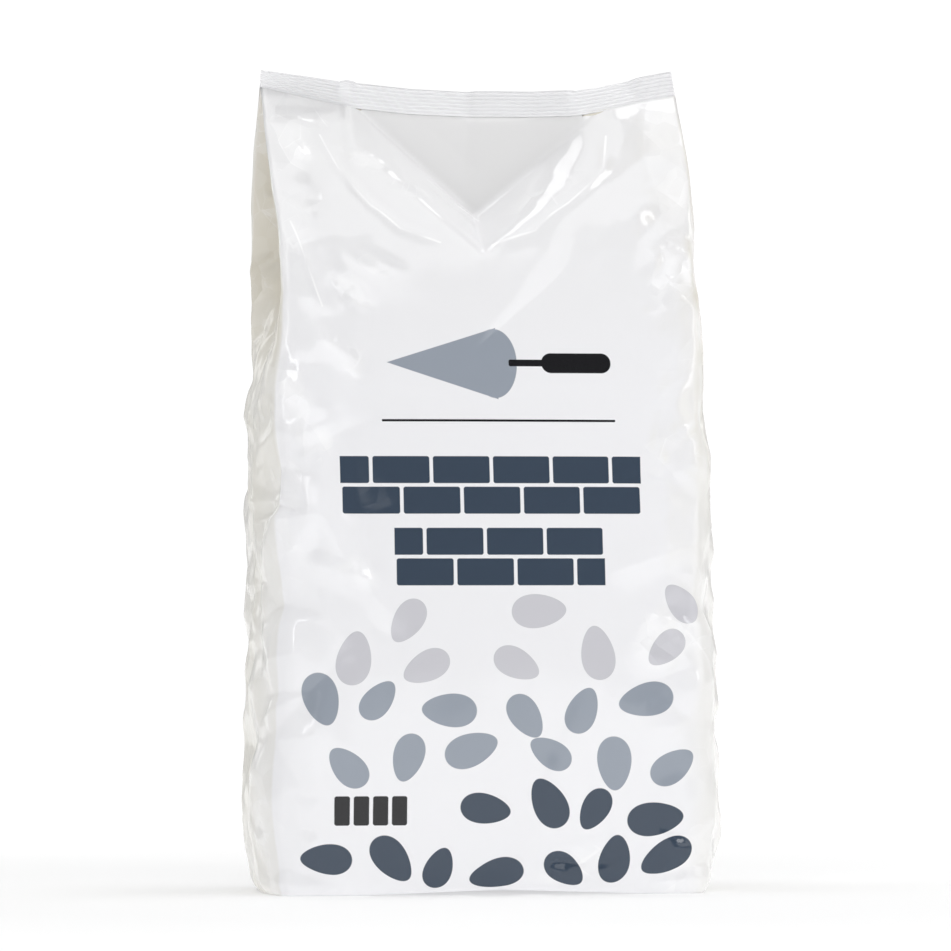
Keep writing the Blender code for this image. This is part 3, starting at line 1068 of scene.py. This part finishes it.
def trowel(tree, x, y):
    """A mason's trowel seen flat: a pointed blade, a cranked shank and a handle."""
    along = moved(tree, x, -17 * MM)
    blade_top = times(tree, maths(tree, "ADD", along, 30 * MM), 0.33)
    side = maths(tree, "SUBTRACT", maths(tree, "ABSOLUTE", y), blade_top)
    blade = highest(tree, side, moved(tree, along, 18 * MM))
    round_heel = point(tree, moved(tree, along, 17 * MM), times(tree, y, 0.62))
    heel = moved(tree, vectors(tree, "LENGTH", round_heel, output="Value"), 9.5 * MM)
    blade = maths(tree, "MINIMUM", blade, heel)
    shank = rounded_box(tree, moved(tree, along, 31 * MM), y, 8 * MM, 1.5 * MM, 0.8 * MM)
    handle = rounded_box(tree, moved(tree, along, 52 * MM), y, 15 * MM, 4.4 * MM, 4.2 * MM)
    return inked(tree, blade), inked(tree, maths(tree, "MINIMUM", shank, handle))


PEBBLE_HALVES, PEBBLE_RADIUS, PEBBLE_BLUNTER = (10.8 * MM, 6.6 * MM), 8 * MM, 0.2


def pebble_group():
    """Signed distance to one pebble: a round shape that is blunter at one end."""
    places = [("Vector", VECTOR, None), ("Centre", VECTOR, None)]
    sockets = places + [("Turn", FLOAT, 0.0), ("Size", FLOAT, 1.0)]
    tree, given, out = new_group("Pebble", sockets, [("Distance", FLOAT)])
    local = vectors(tree, "SUBTRACT", given.outputs["Vector"], given.outputs["Centre"])
    x, y, _ = numbers_of(tree, rotated(tree, local, given.outputs["Turn"], "Z_AXIS"))
    size = given.outputs["Size"]
    x = maths(tree, "DIVIDE", x, times(tree, size, PEBBLE_HALVES[0]))
    y = maths(tree, "DIVIDE", y, times(tree, size, PEBBLE_HALVES[1]))
    y = maths(tree, "DIVIDE", y, maths(tree, "MULTIPLY_ADD", x, PEBBLE_BLUNTER, 1.0))
    reach = vectors(tree, "LENGTH", point(tree, x, y), output="Value")
    tree.links.new(times(tree, moved(tree, reach, 1.0), PEBBLE_RADIUS), out.inputs["Distance"])
    return tree


# Rows of pebbles: height, number, shift to the right, in millimetres, and ink
PEBBLE_ROWS = [
    (13, 7, 2, "Slate"), (36, 7, -5, "Slate"), (59, 6, 6, "Grey"), (81, 6, -5, "Grey"),
    (102, 5, 7, "Pale"), (121, 3, 20, "Pale"),
]
ROW_WIDTH = 168

# The four blocks stand in a gap among the pebbles: their middle, and the half size of the gap
BLOCKS_AT, BLOCKS_GAP = (-51.5, 37), (27, 18)


def pebble_places():
    """Centre, turn, size and ink of each pebble, in millimetres."""
    found = []
    for row, (height, number, shift, ink) in enumerate(PEBBLE_ROWS):
        for k in range(number):
            place = row * 7 + k
            x = (k + 0.5) * ROW_WIDTH / number - ROW_WIDTH / 2 + shift + 3 * math.sin(1.9 * place)
            y = height + 4 * math.sin(1.2 * place + 1)
            if abs(x - BLOCKS_AT[0]) > BLOCKS_GAP[0] or abs(y - BLOCKS_AT[1]) > BLOCKS_GAP[1]:
                found.append((x, y, 4.1 * place, 0.98 + 0.1 * math.sin(2.5 * place), ink))
    return found


def pebble_bed(tree, x, y):
    """Where each of the three inks prints pebbles."""
    place = point(tree, x, y)
    beds = {}
    for u, v, turn, size, ink in pebble_places():
        inputs = (("Vector", place), ("Centre", (u * MM, v * MM, 0)), ("Turn", turn), ("Size", size))
        pebble = add_node(tree, "ShaderNodeGroup", inputs, node_tree=PEBBLE)
        beds[ink] = maths(tree, "MINIMUM", beds.get(ink, 1.0), pebble.outputs[0])
    return {ink: inked(tree, distance) for ink, distance in beds.items()}


def print_group():
    """Ink on the front of the bag: its colour and where it lies."""
    sockets = [("Vector", VECTOR, None)] + [(name, COLOUR, ink) for name, ink in INKS.items()]
    tree, given, out = new_group("Front Print", sockets, [("Color", COLOUR), ("Ink", FLOAT)])
    parts = numbers_of(tree, given.outputs["Vector"])
    x, y = moved(tree, parts[0], PANEL / 2), parts[1]
    blade, handle = trowel(tree, moved(tree, x, 2 * MM), moved(tree, y, 228 * MM))
    rule_x, rule_y = moved(tree, x, 3 * MM), moved(tree, y, 203 * MM)
    rule = inked(tree, rounded_box(tree, rule_x, rule_y, 50 * MM, 0.5 * MM, 0.3 * MM))
    upper = brickwork(tree, x, y, (-1 * MM, 175.5 * MM), 5 * BRICK, BRICK, COURSE, 2)
    lower = brickwork(tree, x, y, (2 * MM, 145 * MM), 3.5 * BRICK, BRICK, COURSE, 2)
    blocks_middle = (BLOCKS_AT[0] * MM, BLOCKS_AT[1] * MM)
    blocks = brickwork(tree, x, y, blocks_middle, 31 * MM, 7.75 * MM, 14 * MM, 1)
    beds = pebble_bed(tree, x, y)
    masks = {
        "Slate": highest(tree, beds["Slate"], upper, lower),
        "Grey": highest(tree, beds["Grey"], blade),
        "Pale": beds["Pale"],
        "Black": highest(tree, blocks, rule, handle),
    }
    colour, ink = given.outputs["Slate"], masks["Slate"]
    for name in ("Grey", "Pale", "Black"):
        colour = mixed(tree, masks[name], colour, given.outputs[name])
        ink = highest(tree, ink, masks[name])
    on_panel = maths(tree, "LESS_THAN", maths(tree, "ABSOLUTE", x), PANEL / 2 - PRINT_MARGIN)
    tree.links.new(colour, out.inputs["Color"])
    tree.links.new(times(tree, ink, on_panel), out.inputs["Ink"])
    return tree


PEBBLE = pebble_group()
PRINT = print_group()
print("pebbles:", len(pebble_places()), "print nodes:", len(PRINT.nodes))

# %% [markdown]
# The film itself is white polyethylene. The front is printed cool white, and the side panels keep the
# film's own warmer white, painted darker as well: painted shade for sides that face away from the light.
# Under the seal, in the pocket's triangle and in the folded-in sides the film is painted darker and
# greyer, and the weld a little: painted shade. It is smooth, so most of what the eye reads as plastic is
# the reflection. The sides are a little duller than the front. The film has gone white in the lap seam up
# the back. It is whiter on the sharpest folds and at the upright edges near the top: whitening there, and
# a painted highlight as well.

# %% Film materials
# The side white is the film's own warmer white, made darker as painted shade for sides facing away
FRONT_WHITE, SIDE_WHITE_AND_SHADE = (0.88, 0.88, 0.90, 1), (0.765, 0.75, 0.695, 1)
# Colours of the painted shade under the seal, on the front and on the sides
SHADED_FRONT, SHADED_SIDE = (0.81, 0.808, 0.81, 1), (0.66, 0.61, 0.50, 1)
# The white of sharp folds and pale shards, also a painted highlight
CREASE_WHITE_AND_GLINT, CREASE_SHARE, SIDE_SHARE = (0.98, 0.98, 0.985, 1), 0.7, 0.32
# The weld gets a fixed share of the same painted shade
EDGE_SHARE, LAP_SHARE, WELD_SHADE = 0.75, 0.35, 0.3
SMOOTHEST, GLOSS_WANDER, SIDE_DULLER = 0.05, 0.07, 0.14
SHARDS_EVERYWHERE = 0.08

# The first placed creases go white, and so do the upright edges near the top: whitening and painted
# highlight. Spans: how wide such a fold is, how wide an edge is and where it is white, and the gaps that
# a random pattern leaves in both.
WHITE_AND_GLINT_CREASES = 4
FOLD_WIDTH, EDGE_WIDTH, EDGE_HEIGHT = (0.65 * MM, 0.15 * MM), (3.5 * MM, 0.5 * MM), (150 * MM, 215 * MM)
FOLD_GAPS, EDGE_GAPS, LAP_BORDER = (0.32, 0.55), (0.3, 0.6), 0.3 * MM


def line_group():
    """Distance to a straight line between two places."""
    sockets = [("Vector", VECTOR, None), ("From", VECTOR, None), ("To", VECTOR, None)]
    tree, given, out = new_group("Line", sockets, [("Distance", FLOAT)])
    way = vectors(tree, "SUBTRACT", given.outputs["To"], given.outputs["From"])
    place = vectors(tree, "SUBTRACT", given.outputs["Vector"], given.outputs["From"])
    along = vectors(tree, "DOT_PRODUCT", place, way, output="Value")
    squared = vectors(tree, "DOT_PRODUCT", way, way, output="Value")
    share = maths(tree, "DIVIDE", along, squared, clamp=True)
    distance = vectors(tree, "DISTANCE", place, scaled(tree, way, share), output="Value")
    tree.links.new(distance, out.inputs["Distance"])
    return tree


def sharp_folds_and_glints(tree, flat):
    """1 on the first placed creases, which are painted white: whitening and a painted highlight on the
    crest.
    """
    distance = 1.0
    for points, _, _ in PLACED_CREASES[:WHITE_AND_GLINT_CREASES]:
        places = [(u * MM, v * MM, 0) for u, v in points]
        for first, second in zip(places, places[1:]):
            inputs = (("Vector", flat), ("From", first), ("To", second))
            line = add_node(tree, "ShaderNodeGroup", inputs, node_tree=LINE)
            distance = maths(tree, "MINIMUM", distance, line.outputs[0])
    return between(tree, distance, *FOLD_WIDTH)


def whitening_and_glints(tree, flat):
    """Where the film is painted white: on sharp folds and upright edges, whitening and painted highlight,
    and in the lap seam.
    """
    x, y, _ = numbers_of(tree, flat)
    wander = clouds(tree, flat, 45.0).outputs["Fac"]
    sharp = times(tree, sharp_folds_and_glints(tree, flat), between(tree, wander, *FOLD_GAPS))
    edges = 0.0
    for edge in UPRIGHT_EDGES:
        away = maths(tree, "ABSOLUTE", moved(tree, x, float(edge)))
        edges = highest(tree, edges, between(tree, away, *EDGE_WIDTH))
    high, gaps = between(tree, y, *EDGE_HEIGHT), between(tree, wander, *EDGE_GAPS)
    edges = times(tree, edges, high, gaps, EDGE_SHARE)
    off_seam = maths(tree, "ABSOLUTE", moved(tree, x, SEAM_AT))
    lap = times(tree, between(tree, off_seam, SEAM_WIDTH / 2, SEAM_WIDTH / 2 - LAP_BORDER), LAP_SHARE)
    return highest(tree, sharp, edges, lap)


def film_material(name, printed):
    """Glossy white film, printed or plain."""
    material = bpy.data.materials.new(name)
    material.use_nodes = True
    tree = material.node_tree
    shader = tree.nodes["Principled BSDF"]
    place = add_node(tree, "ShaderNodeTexCoord").outputs["Object"]
    side, crumpled, empty = (
        add_node(tree, "ShaderNodeAttribute", attribute_name=label).outputs["Fac"]
        for label in ("side", "crumpled", "empty")
    )
    # Painted shade: the film takes it from its attribute, the weld a fixed share
    empty, least = (empty, SHARDS_EVERYWHERE) if printed else (WELD_SHADE, 0.0)
    # The side colour is the film's own warmer white with painted shade in it
    full, hollow = mixed(tree, side, FRONT_WHITE, SIDE_WHITE_AND_SHADE), mixed(tree, side, SHADED_FRONT, SHADED_SIDE)
    # Painted shade mixes the film towards the shaded whites under the seal and in the folded sides
    colour = mixed(tree, empty, full, hollow)
    cloudy = clouds(tree, place, 30.0, 3.0).outputs["Fac"]
    gloss = maths(tree, "MULTIPLY_ADD", cloudy, GLOSS_WANDER, SMOOTHEST)
    gloss = maths(tree, "MULTIPLY_ADD", side, SIDE_DULLER, gloss)
    inputs = (("Vector", place), ("Amount", crumpled), ("Least", least))
    creases = add_node(tree, "ShaderNodeGroup", inputs, node_tree=CRUMPLE)
    share = maths(tree, "MULTIPLY_ADD", side, SIDE_SHARE - CREASE_SHARE, CREASE_SHARE)
    white = times(tree, creases.outputs["WhiteningAndGlints"], share)
    if printed:
        flat = add_node(tree, "ShaderNodeUVMap", uv_map="flat film").outputs["UV"]
        white = highest(tree, white, whitening_and_glints(tree, flat))
    # White folds, pale shards and edges: whitening and painted highlights
    colour = mixed(tree, white, colour, CREASE_WHITE_AND_GLINT)
    if printed:
        ink = add_node(tree, "ShaderNodeGroup", (("Vector", flat),), node_tree=PRINT)
        colour = mixed(tree, ink.outputs["Ink"], colour, ink.outputs["Color"])
    put(tree, shader.inputs["Base Color"], colour)
    put(tree, shader.inputs["Roughness"], gloss)
    put(tree, shader.inputs["Normal"], creases.outputs["Normal"])
    shader.inputs["Specular IOR Level"].default_value = 0.5
    return material


LINE = line_group()
PRINTED_FILM = film_material("printed_film", True)
PLAIN_FILM = film_material("plain_film", False)

# %% [markdown]
# ## The film as a mesh
#
# The grid of points becomes the bag's skin. The bottom is closed with a patch whose four sides are the
# film's lowest row. Three attributes go with it: how much it has the side panels' warmer, darker white,
# by its place and, as painted shade, by the way it faces; how crumpled it is; and how much painted shade
# it gets under the seal, where the bag is empty. The flat place of each point is a UV map, in metres,
# for the print.

# %% Build the film
# Painted shade: where it starts up the film, its most near the weld, and its most in the folded sides
SHADE_FROM, SHADE_ON_SLOPES, SHADE_IN_SIDES = 215 * MM, 0.85, 0.6
SIDES_FROM, TRIANGLE_EDGE = (222 * MM, 250 * MM), (-1.5 * MM, 2.5 * MM)

# The side's colour, by distance beyond a side panel's edge: by place, the film's own warmer white with
# painted shade in it, and where the film turns away from the front, painted shade alone. Near the foot
# its own border is softer.
TINT_EDGE, TINT_WANDER, BY_PLACE = 15 * MM, 4 * MM, 0.35
TURNED, TURNED_REACH, SHADE_BY_FACING = (0.12, 0.5), (42 * MM, 18 * MM), 0.75
HIGH_BORDER, FOOT_BORDER = (2 * MM, -16 * MM), (12 * MM, -34 * MM)
FOOT, LESS_AT_FOOT = (220 * MM, 130 * MM), 0.5


def add_attribute(mesh, name, values):
    """A number for every vertex."""
    attribute = mesh.attributes.new(name, "FLOAT", "POINT")
    attribute.data.foreach_set("value", np.asarray(values, np.float32).ravel())


def painted_shade():
    """Painted shade: full on the pocket's triangle, growing towards the weld all round, and in the folded
    sides.
    """
    u, v = film_places(FINE)
    x, z = film_points[..., 0] - TOP_SHIFT, film_points[..., 2]
    inside = np.minimum(inside_line(x, z, V_LEFT, V_FOOT), inside_line(x, z, V_FOOT, V_RIGHT))
    triangle = ramp(inside, *TRIANGLE_EDGE) * (u < PANEL)
    beside = SHADE_IN_SIDES * ramp(v, *SIDES_FROM) * (off_middle(FINE) > 1)
    return np.maximum(np.maximum(SHADE_ON_SLOPES * ramp(v, SHADE_FROM, TUBE), triangle), beside)


def tint():
    """How much each place has the side's warmer, darker white: by place, and as painted shade by facing."""
    u, v = film_places(FINE)
    beyond = np.minimum(np.abs(u - PANEL - SIDE / 2), np.abs(u - 2 * PANEL - 1.5 * SIDE)) - SIDE / 2
    wander = TINT_WANDER * waviness((u, v), 20 * MM, 60 * MM, 11)
    near = ramp(beyond + wander, TINT_EDGE, -TINT_EDGE)
    # Where the film turns sideways it takes the side's darker colour: painted shade
    turned = ramp(np.abs(grid_normals(film_points)[..., 0]), *TURNED) * ramp(beyond, *TURNED_REACH)
    sides = np.minimum(1, BY_PLACE * near + SHADE_BY_FACING * turned)
    foot = ramp(v, *FOOT)
    own = ramp(beyond, *HIGH_BORDER) * (1 - foot) + ramp(beyond, *FOOT_BORDER) * foot
    return np.maximum(own, sides * (1 - LESS_AT_FOOT * foot))


def ring_sides(ring):
    """The front, right, back and left part of a ring, each from the left or from the front."""
    across, aside, _ = counts(FINE)
    front, right = ring[: across + 1], ring[across: across + aside + 1]
    back = ring[across + aside: 2 * across + aside + 1][::-1]
    left = np.concatenate([ring[2 * across + aside:], ring[:1]])[::-1]
    return front, right, back, left


def bottom_patch(ring):
    """Rows of points that fill the lowest ring, from its front edge to its back edge."""
    front, right, back, left = ring_sides(ring)
    s = np.linspace(0, 1, len(front))[None, :, None]
    t = np.linspace(0, 1, len(right))[:, None, None]
    ends = (1 - s) * left[:, None] + s * right[:, None]
    sides = (1 - t) * front[None] + t * back[None]
    low = (1 - s) * front[0] + s * front[-1]
    high = (1 - s) * back[0] + s * back[-1]
    return ends + sides - (1 - t) * low - t * high


def bottom_faces(ring, first):
    """The faces of the bottom's patch, from the numbers of its ring and of its first inner point."""
    front, right, back, left = ring_sides(ring)
    low = np.empty((len(right), len(front)), int)
    low[0], low[:, -1], low[-1], low[:, 0] = front, right, back, left
    inner = low[1:-1, 1:-1]
    inner[:] = first + np.arange(inner.size).reshape(inner.shape)
    return np.stack([low[:-1, :-1], low[1:, :-1], low[1:, 1:], low[:-1, 1:]], axis=-1).reshape(-1, 4)


def top_faces(ring):
    """The faces that close the film under the weld, from front to back."""
    front, _, back, _ = ring_sides(ring)
    return np.stack([front[:-1], front[1:], back[1:], back[:-1]], axis=1)


def lay_flat(mesh, wrapped, spare):
    """A UV map in metres: the flat place of every corner. Wrapped faces end at the full way round."""
    places = np.stack(film_places(FINE), axis=2).reshape(-1, 2)
    loops = np.empty(len(mesh.loops), int)
    mesh.loops.foreach_get("vertex_index", loops)
    flat = np.concatenate([places, np.zeros((spare, 2))])[loops]
    ends = np.zeros(len(loops), bool)
    ends[: 4 * len(wrapped)] = np.repeat(wrapped, 4)
    flat[ends & (flat[:, 0] == 0), 0] = ROUND_TUBE
    mesh.uv_layers.new(name="flat film").data.foreach_set("uv", flat.ravel())


def build_film():
    """The bag's skin as one object."""
    rows, columns = film_points.shape[:2]
    index = np.arange(rows * columns).reshape(rows, columns)
    around = tube_faces(index)
    faces = np.concatenate([around, bottom_faces(index[0], rows * columns), top_faces(index[-1])])
    inner = bottom_patch(film_points[0])[1:-1, 1:-1].reshape(-1, 3)
    mesh = bpy.data.meshes.new("film")
    mesh.from_pydata(np.concatenate([film_points.reshape(-1, 3), inner]), [], faces.tolist())
    # The attribute empty carries the painted shade, and side the side colour with its painted shade
    for name, values in (("side", tint()), ("crumpled", crumpled_here()), ("empty", painted_shade())):
        add_attribute(mesh, name, np.concatenate([values.ravel(), np.zeros(len(inner))]))
    lay_flat(mesh, (around % columns == columns - 1).any(axis=1), len(inner))
    mesh.materials.append(PRINTED_FILM)
    mesh.shade_smooth()
    return add_to_scene(bpy.data.objects.new("film", mesh))


film = build_film()
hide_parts("bag")
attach(film, "root")
print("film:", len(film.data.polygons), "faces")

# %% [markdown]
# ## The welded seals
#
# The weld is pressed between jaws with fine ribs, so it is a stiff corrugated strip. It follows the top
# of the film, and it leans to and fro along its length. Geometry Nodes sweep it: the path carries the
# lean as an attribute, and the profile is a flat loop whose two long sides ripple together, once for each
# rib. The weld at the bottom is made by the same tree. There the strip is folded flat under the bag, so
# its path leans by a right angle.

# %% The tree that sweeps a ribbed seal
SEAL_HEIGHT, SEAL_THICKNESS = 11.3 * MM, 0.5 * MM
RIBS, RIB_DEPTH, POINTS_PER_RIB = 7, 0.3 * MM, 12
BLUNT = 10.0


def ribbed_profile(tree, height, thickness, ribs, depth):
    """A closed loop round a thin upright strip that ripples."""
    number = times(tree, ribs, POINTS_PER_RIB)
    loop = add_node(tree, "GeometryNodeCurvePrimitiveCircle", (("Resolution", number),)).outputs[0]
    factor = tree.nodes.new("GeometryNodeSplineParameter").outputs["Factor"]
    half_turn = maths(tree, "SUBTRACT", 1.0, times(tree, factor, 2.0))
    up = maths(tree, "SUBTRACT", 1.0, maths(tree, "ABSOLUTE", half_turn))
    from_end = times(tree, maths(tree, "MINIMUM", up, maths(tree, "SUBTRACT", 1.0, up)), BLUNT)
    side = times(tree, maths(tree, "SIGN", half_turn), maths(tree, "MINIMUM", from_end, 1.0))
    ripple = maths(tree, "SINE", times(tree, up, ribs, 2 * math.pi))
    across = maths(tree, "ADD", times(tree, side, times(tree, thickness, 0.5)), times(tree, ripple, depth))
    place = point(tree, across, times(tree, up, times(tree, height, -1.0)))
    return add_node(tree, "GeometryNodeSetPosition", ((0, loop), (2, place))).outputs[0]


def seal_tree():
    """Geometry Nodes: a path of edges becomes a ribbed strip that stands on it."""
    tree = bpy.data.node_groups.new("Ribbed Seal", "GeometryNodeTree")
    sockets = {
        "Geometry": "NodeSocketGeometry", "Height": FLOAT, "Thickness": FLOAT,
        "Ribs": "NodeSocketInt", "Rib Depth": FLOAT, "Material": "NodeSocketMaterial",
    }
    for label, kind in sockets.items():
        tree.interface.new_socket(name=label, in_out="INPUT", socket_type=kind)
    tree.interface.new_socket(name="Geometry", in_out="OUTPUT", socket_type="NodeSocketGeometry")
    given, out = tree.nodes.new("NodeGroupInput"), tree.nodes.new("NodeGroupOutput")
    measures = (given.outputs[label] for label in ("Height", "Thickness", "Ribs", "Rib Depth"))
    profile = ribbed_profile(tree, *measures)
    lean = add_node(tree, "GeometryNodeInputNamedAttribute", (("Name", "lean"),), data_type="FLOAT")
    strip = given.outputs["Geometry"]
    for kind, inputs, settings in (
        ("MeshToCurve", (), {}),
        ("SetCurveNormal", (), {"mode": "Z_UP"}),
        ("SetCurveTilt", ((2, lean.outputs["Attribute"]),), {}),
        ("CurveToMesh", ((1, profile), ("Fill Caps", True)), {}),
        ("RealizeInstances", (), {}),
        ("SetMaterial", ((2, given.outputs["Material"]),), {}),
    ):
        strip = add_node(tree, "GeometryNode" + kind, ((0, strip), *inputs), **settings).outputs[0]
    tree.links.new(strip, out.inputs[0])
    return tree


def bake(thing, name):
    """The object with its modifiers applied, as a plain mesh."""
    graph = bpy.context.evaluated_depsgraph_get()
    mesh = bpy.data.meshes.new_from_object(thing.evaluated_get(graph), depsgraph=graph)
    bpy.data.objects.remove(thing)
    mesh.name = name
    mesh.shade_smooth()
    return add_to_scene(bpy.data.objects.new(name, mesh))


def sweep_seal(name, path, lean, material):
    """A ribbed strip along a path of points, leaning by an angle at each."""
    mesh = bpy.data.meshes.new(name)
    mesh.from_pydata(path, [(k, k + 1) for k in range(len(path) - 1)], [])
    add_attribute(mesh, "lean", lean)
    strip = add_to_scene(bpy.data.objects.new(name, mesh))
    nodes = strip.modifiers.new("seal", "NODES")
    nodes.node_group = SEAL_TREE
    values = {
        "Height": SEAL_HEIGHT, "Thickness": SEAL_THICKNESS,
        "Ribs": RIBS, "Rib Depth": RIB_DEPTH, "Material": material,
    }
    for item in SEAL_TREE.interface.items_tree:
        if item.in_out == "INPUT" and item.name in values:
            nodes[item.identifier] = values[item.name]
    strip.update_tag()
    bpy.context.view_layer.update()
    return bake(strip, name)


SEAL_TREE = seal_tree()

# %% Top and bottom seals
SEAL_POINTS, OVERLAP = 150, 0.8 * MM
BOTTOM_POINTS, BOTTOM_HEIGHT, SHORTER = 60, 0.5 * MM, 2 * MM


def declare(piece):
    """Attaches a piece to the bag's root and hides the imported bag."""
    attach(piece, "root")
    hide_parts("bag")


def top_seal():
    """The ribbed weld that stands on the top of the film."""
    x = np.linspace(SEAL_LINE[0, 0], SEAL_LINE[-1, 0], SEAL_POINTS)
    depth, height, lean = seal_line(x)
    path = np.stack([x + TOP_SHIFT, depth, height - OVERLAP], axis=1)
    return sweep_seal("top_seal", path, lean, PLAIN_FILM)


def bottom_seal():
    """The same weld folded flat under the bag."""
    x = np.linspace(-PANEL / 2 + SHORTER, PANEL / 2 - SHORTER, BOTTOM_POINTS)
    path = np.stack([x, np.full_like(x, -SEAL_HEIGHT / 2), np.full_like(x, BOTTOM_HEIGHT)], axis=1)
    return sweep_seal("bottom_seal", path, np.full_like(x, -math.pi / 2), PLAIN_FILM)


for seal in (top_seal(), bottom_seal()):
    declare(seal)
    print(seal.name, len(seal.data.polygons), "faces")

# %% [markdown]
# ## Studio
#
# The photograph is a product shot on white. The floor is pale, and the world is grey in front of the
# bag, lighter behind it and white to the camera. The floor glows, as a lit white table does: that fills
# the shade at the foot of the bag and keeps the background white. To the camera it glows less near the
# bag, which paints shade round the bag's foot on top of its soft shadow. Three wide suns give the light
# from above, the same over the whole floor. The lamps are for the glints: a tall strip on each side of
# the camera for the creases, one wide lamp for the right side and two behind for the back.

# %% Floor, lamps and world
WORLD_FRONT, WORLD_BACK, WORLD_SEEN = 0.16, 0.60, 1.05
FLOOR_HALF, FLOOR_WHITE, FLOOR_GLOW = 6.0, 0.78, 0.42
# How much the floor glows to the camera near the bag and far off: the dimmer glow near it is painted shade
GLOW_NEAR, GLOW_FAR, NEAR_BAG, FAR_OFF = 0.18, 0.31, 0.25, 0.9
SKY_STRENGTH, SKY_ANGLE = 0.90, math.radians(50)
OVERHEAD_STRENGTH, OVERHEAD_ANGLE = 0.58, math.radians(24)
BACKDROP_FADE = (-0.05, 0.35)
LAMPS_AIM = Vector((0, 0, 0.18))

# Bearing from the camera's and height in degrees, distance, brightness, width and height
LAMPS = {
    "right_strip": (50, 24, 2.0, 6, 0.16, 1.0),
    "left_strip": (-21, 24, 2.0, 4.5, 0.14, 1.0),
    "right_side": (65, 12, 1.9, 1.6, 0.7, 0.9),
    "back_left": (-141, 20, 2.0, 1.3, 0.4, 1.1),
    "back_right": (141, 20, 2.0, 1.3, 0.4, 1.1),
}


def build_floor():
    """A pale floor that, to the camera, is painted darker round the bag."""
    mesh = bpy.data.meshes.new("floor")
    corners = [(x * FLOOR_HALF, y * FLOOR_HALF, 0) for x, y in ((-1, -1), (1, -1), (1, 1), (-1, 1))]
    mesh.from_pydata(corners, [], [(0, 1, 2, 3)])
    material = bpy.data.materials.new("pale_floor")
    material.use_nodes = True
    tree = material.node_tree
    shader = tree.nodes["Principled BSDF"]
    shader.inputs["Base Color"].default_value = (FLOOR_WHITE, FLOOR_WHITE, FLOOR_WHITE, 1)
    shader.inputs["Roughness"].default_value = 0.9
    shader.inputs["Specular IOR Level"].default_value = 0.0
    shader.inputs["Emission Color"].default_value = (1, 1, 1, 1)
    place = add_node(tree, "ShaderNodeTexCoord").outputs["Object"]
    away = between(tree, vectors(tree, "LENGTH", place, output="Value"), NEAR_BAG, FAR_OFF)
    more = maths(tree, "MULTIPLY_ADD", away, GLOW_FAR - GLOW_NEAR, GLOW_NEAR - FLOOR_GLOW)
    seen = tree.nodes.new("ShaderNodeLightPath").outputs["Is Camera Ray"]
    put(tree, shader.inputs["Emission Strength"], maths(tree, "MULTIPLY_ADD", seen, more, FLOOR_GLOW))
    mesh.materials.append(material)
    return add_to_scene(bpy.data.objects.new("floor", mesh))


def add_lamp(name, azimuth, elevation, distance, brightness, width, height):
    """A soft rectangular lamp aimed at the bag. Brightness is how bright it looks."""
    data = bpy.data.lights.new(name, "AREA")
    data.shape, data.size, data.size_y = "RECTANGLE", width, height
    data.energy = brightness * math.pi * width * height
    lamp = add_to_scene(bpy.data.objects.new(name, data))
    lamp.visible_camera = False
    turn, rise = CAMERA_AZIMUTH + math.radians(azimuth), math.radians(elevation)
    way = Vector((math.sin(turn) * math.cos(rise), -math.cos(turn) * math.cos(rise), math.sin(rise)))
    lamp.location = LAMPS_AIM + way * distance
    aim(lamp, LAMPS_AIM)


def add_sky(name, strength, angle, place):
    """A soft light that is even over the whole floor, from the direction of a place."""
    data = bpy.data.lights.new(name, "SUN")
    data.energy, data.angle = strength, angle
    sky = add_to_scene(bpy.data.objects.new(name, data))
    sky.location = place
    aim(sky, Vector((0, 0, 0)))


def white_world():
    """Even light from the front, a white backdrop behind, and white all round for the camera."""
    world = bpy.data.worlds.new("studio")
    world.use_nodes = True
    tree = world.node_tree
    way = numbers_of(tree, tree.nodes.new("ShaderNodeTexCoord").outputs["Generated"])
    backdrop = between(tree, way[1], *BACKDROP_FADE)
    light = maths(tree, "MULTIPLY_ADD", backdrop, WORLD_BACK - WORLD_FRONT, WORLD_FRONT)
    seen = tree.nodes.new("ShaderNodeLightPath").outputs["Is Camera Ray"]
    missing = maths(tree, "SUBTRACT", WORLD_SEEN, light)
    strength = maths(tree, "MULTIPLY_ADD", seen, missing, light)
    tree.links.new(strength, tree.nodes["Background"].inputs["Strength"])
    tree.nodes["Background"].inputs["Color"].default_value = (1, 1, 1, 1)
    bpy.context.scene.world = world


build_floor()
white_world()
add_sky("sky", SKY_STRENGTH, SKY_ANGLE, (0, -0.9, 1.2))
add_sky("above_left", OVERHEAD_STRENGTH, OVERHEAD_ANGLE, (-0.55, -0.05, 1.6))
add_sky("above_right", OVERHEAD_STRENGTH, OVERHEAD_ANGLE, (0.55, -0.05, 1.6))
for name, measures in LAMPS.items():
    add_lamp(name, *measures)
bpy.context.scene.view_settings.view_transform = "Standard"
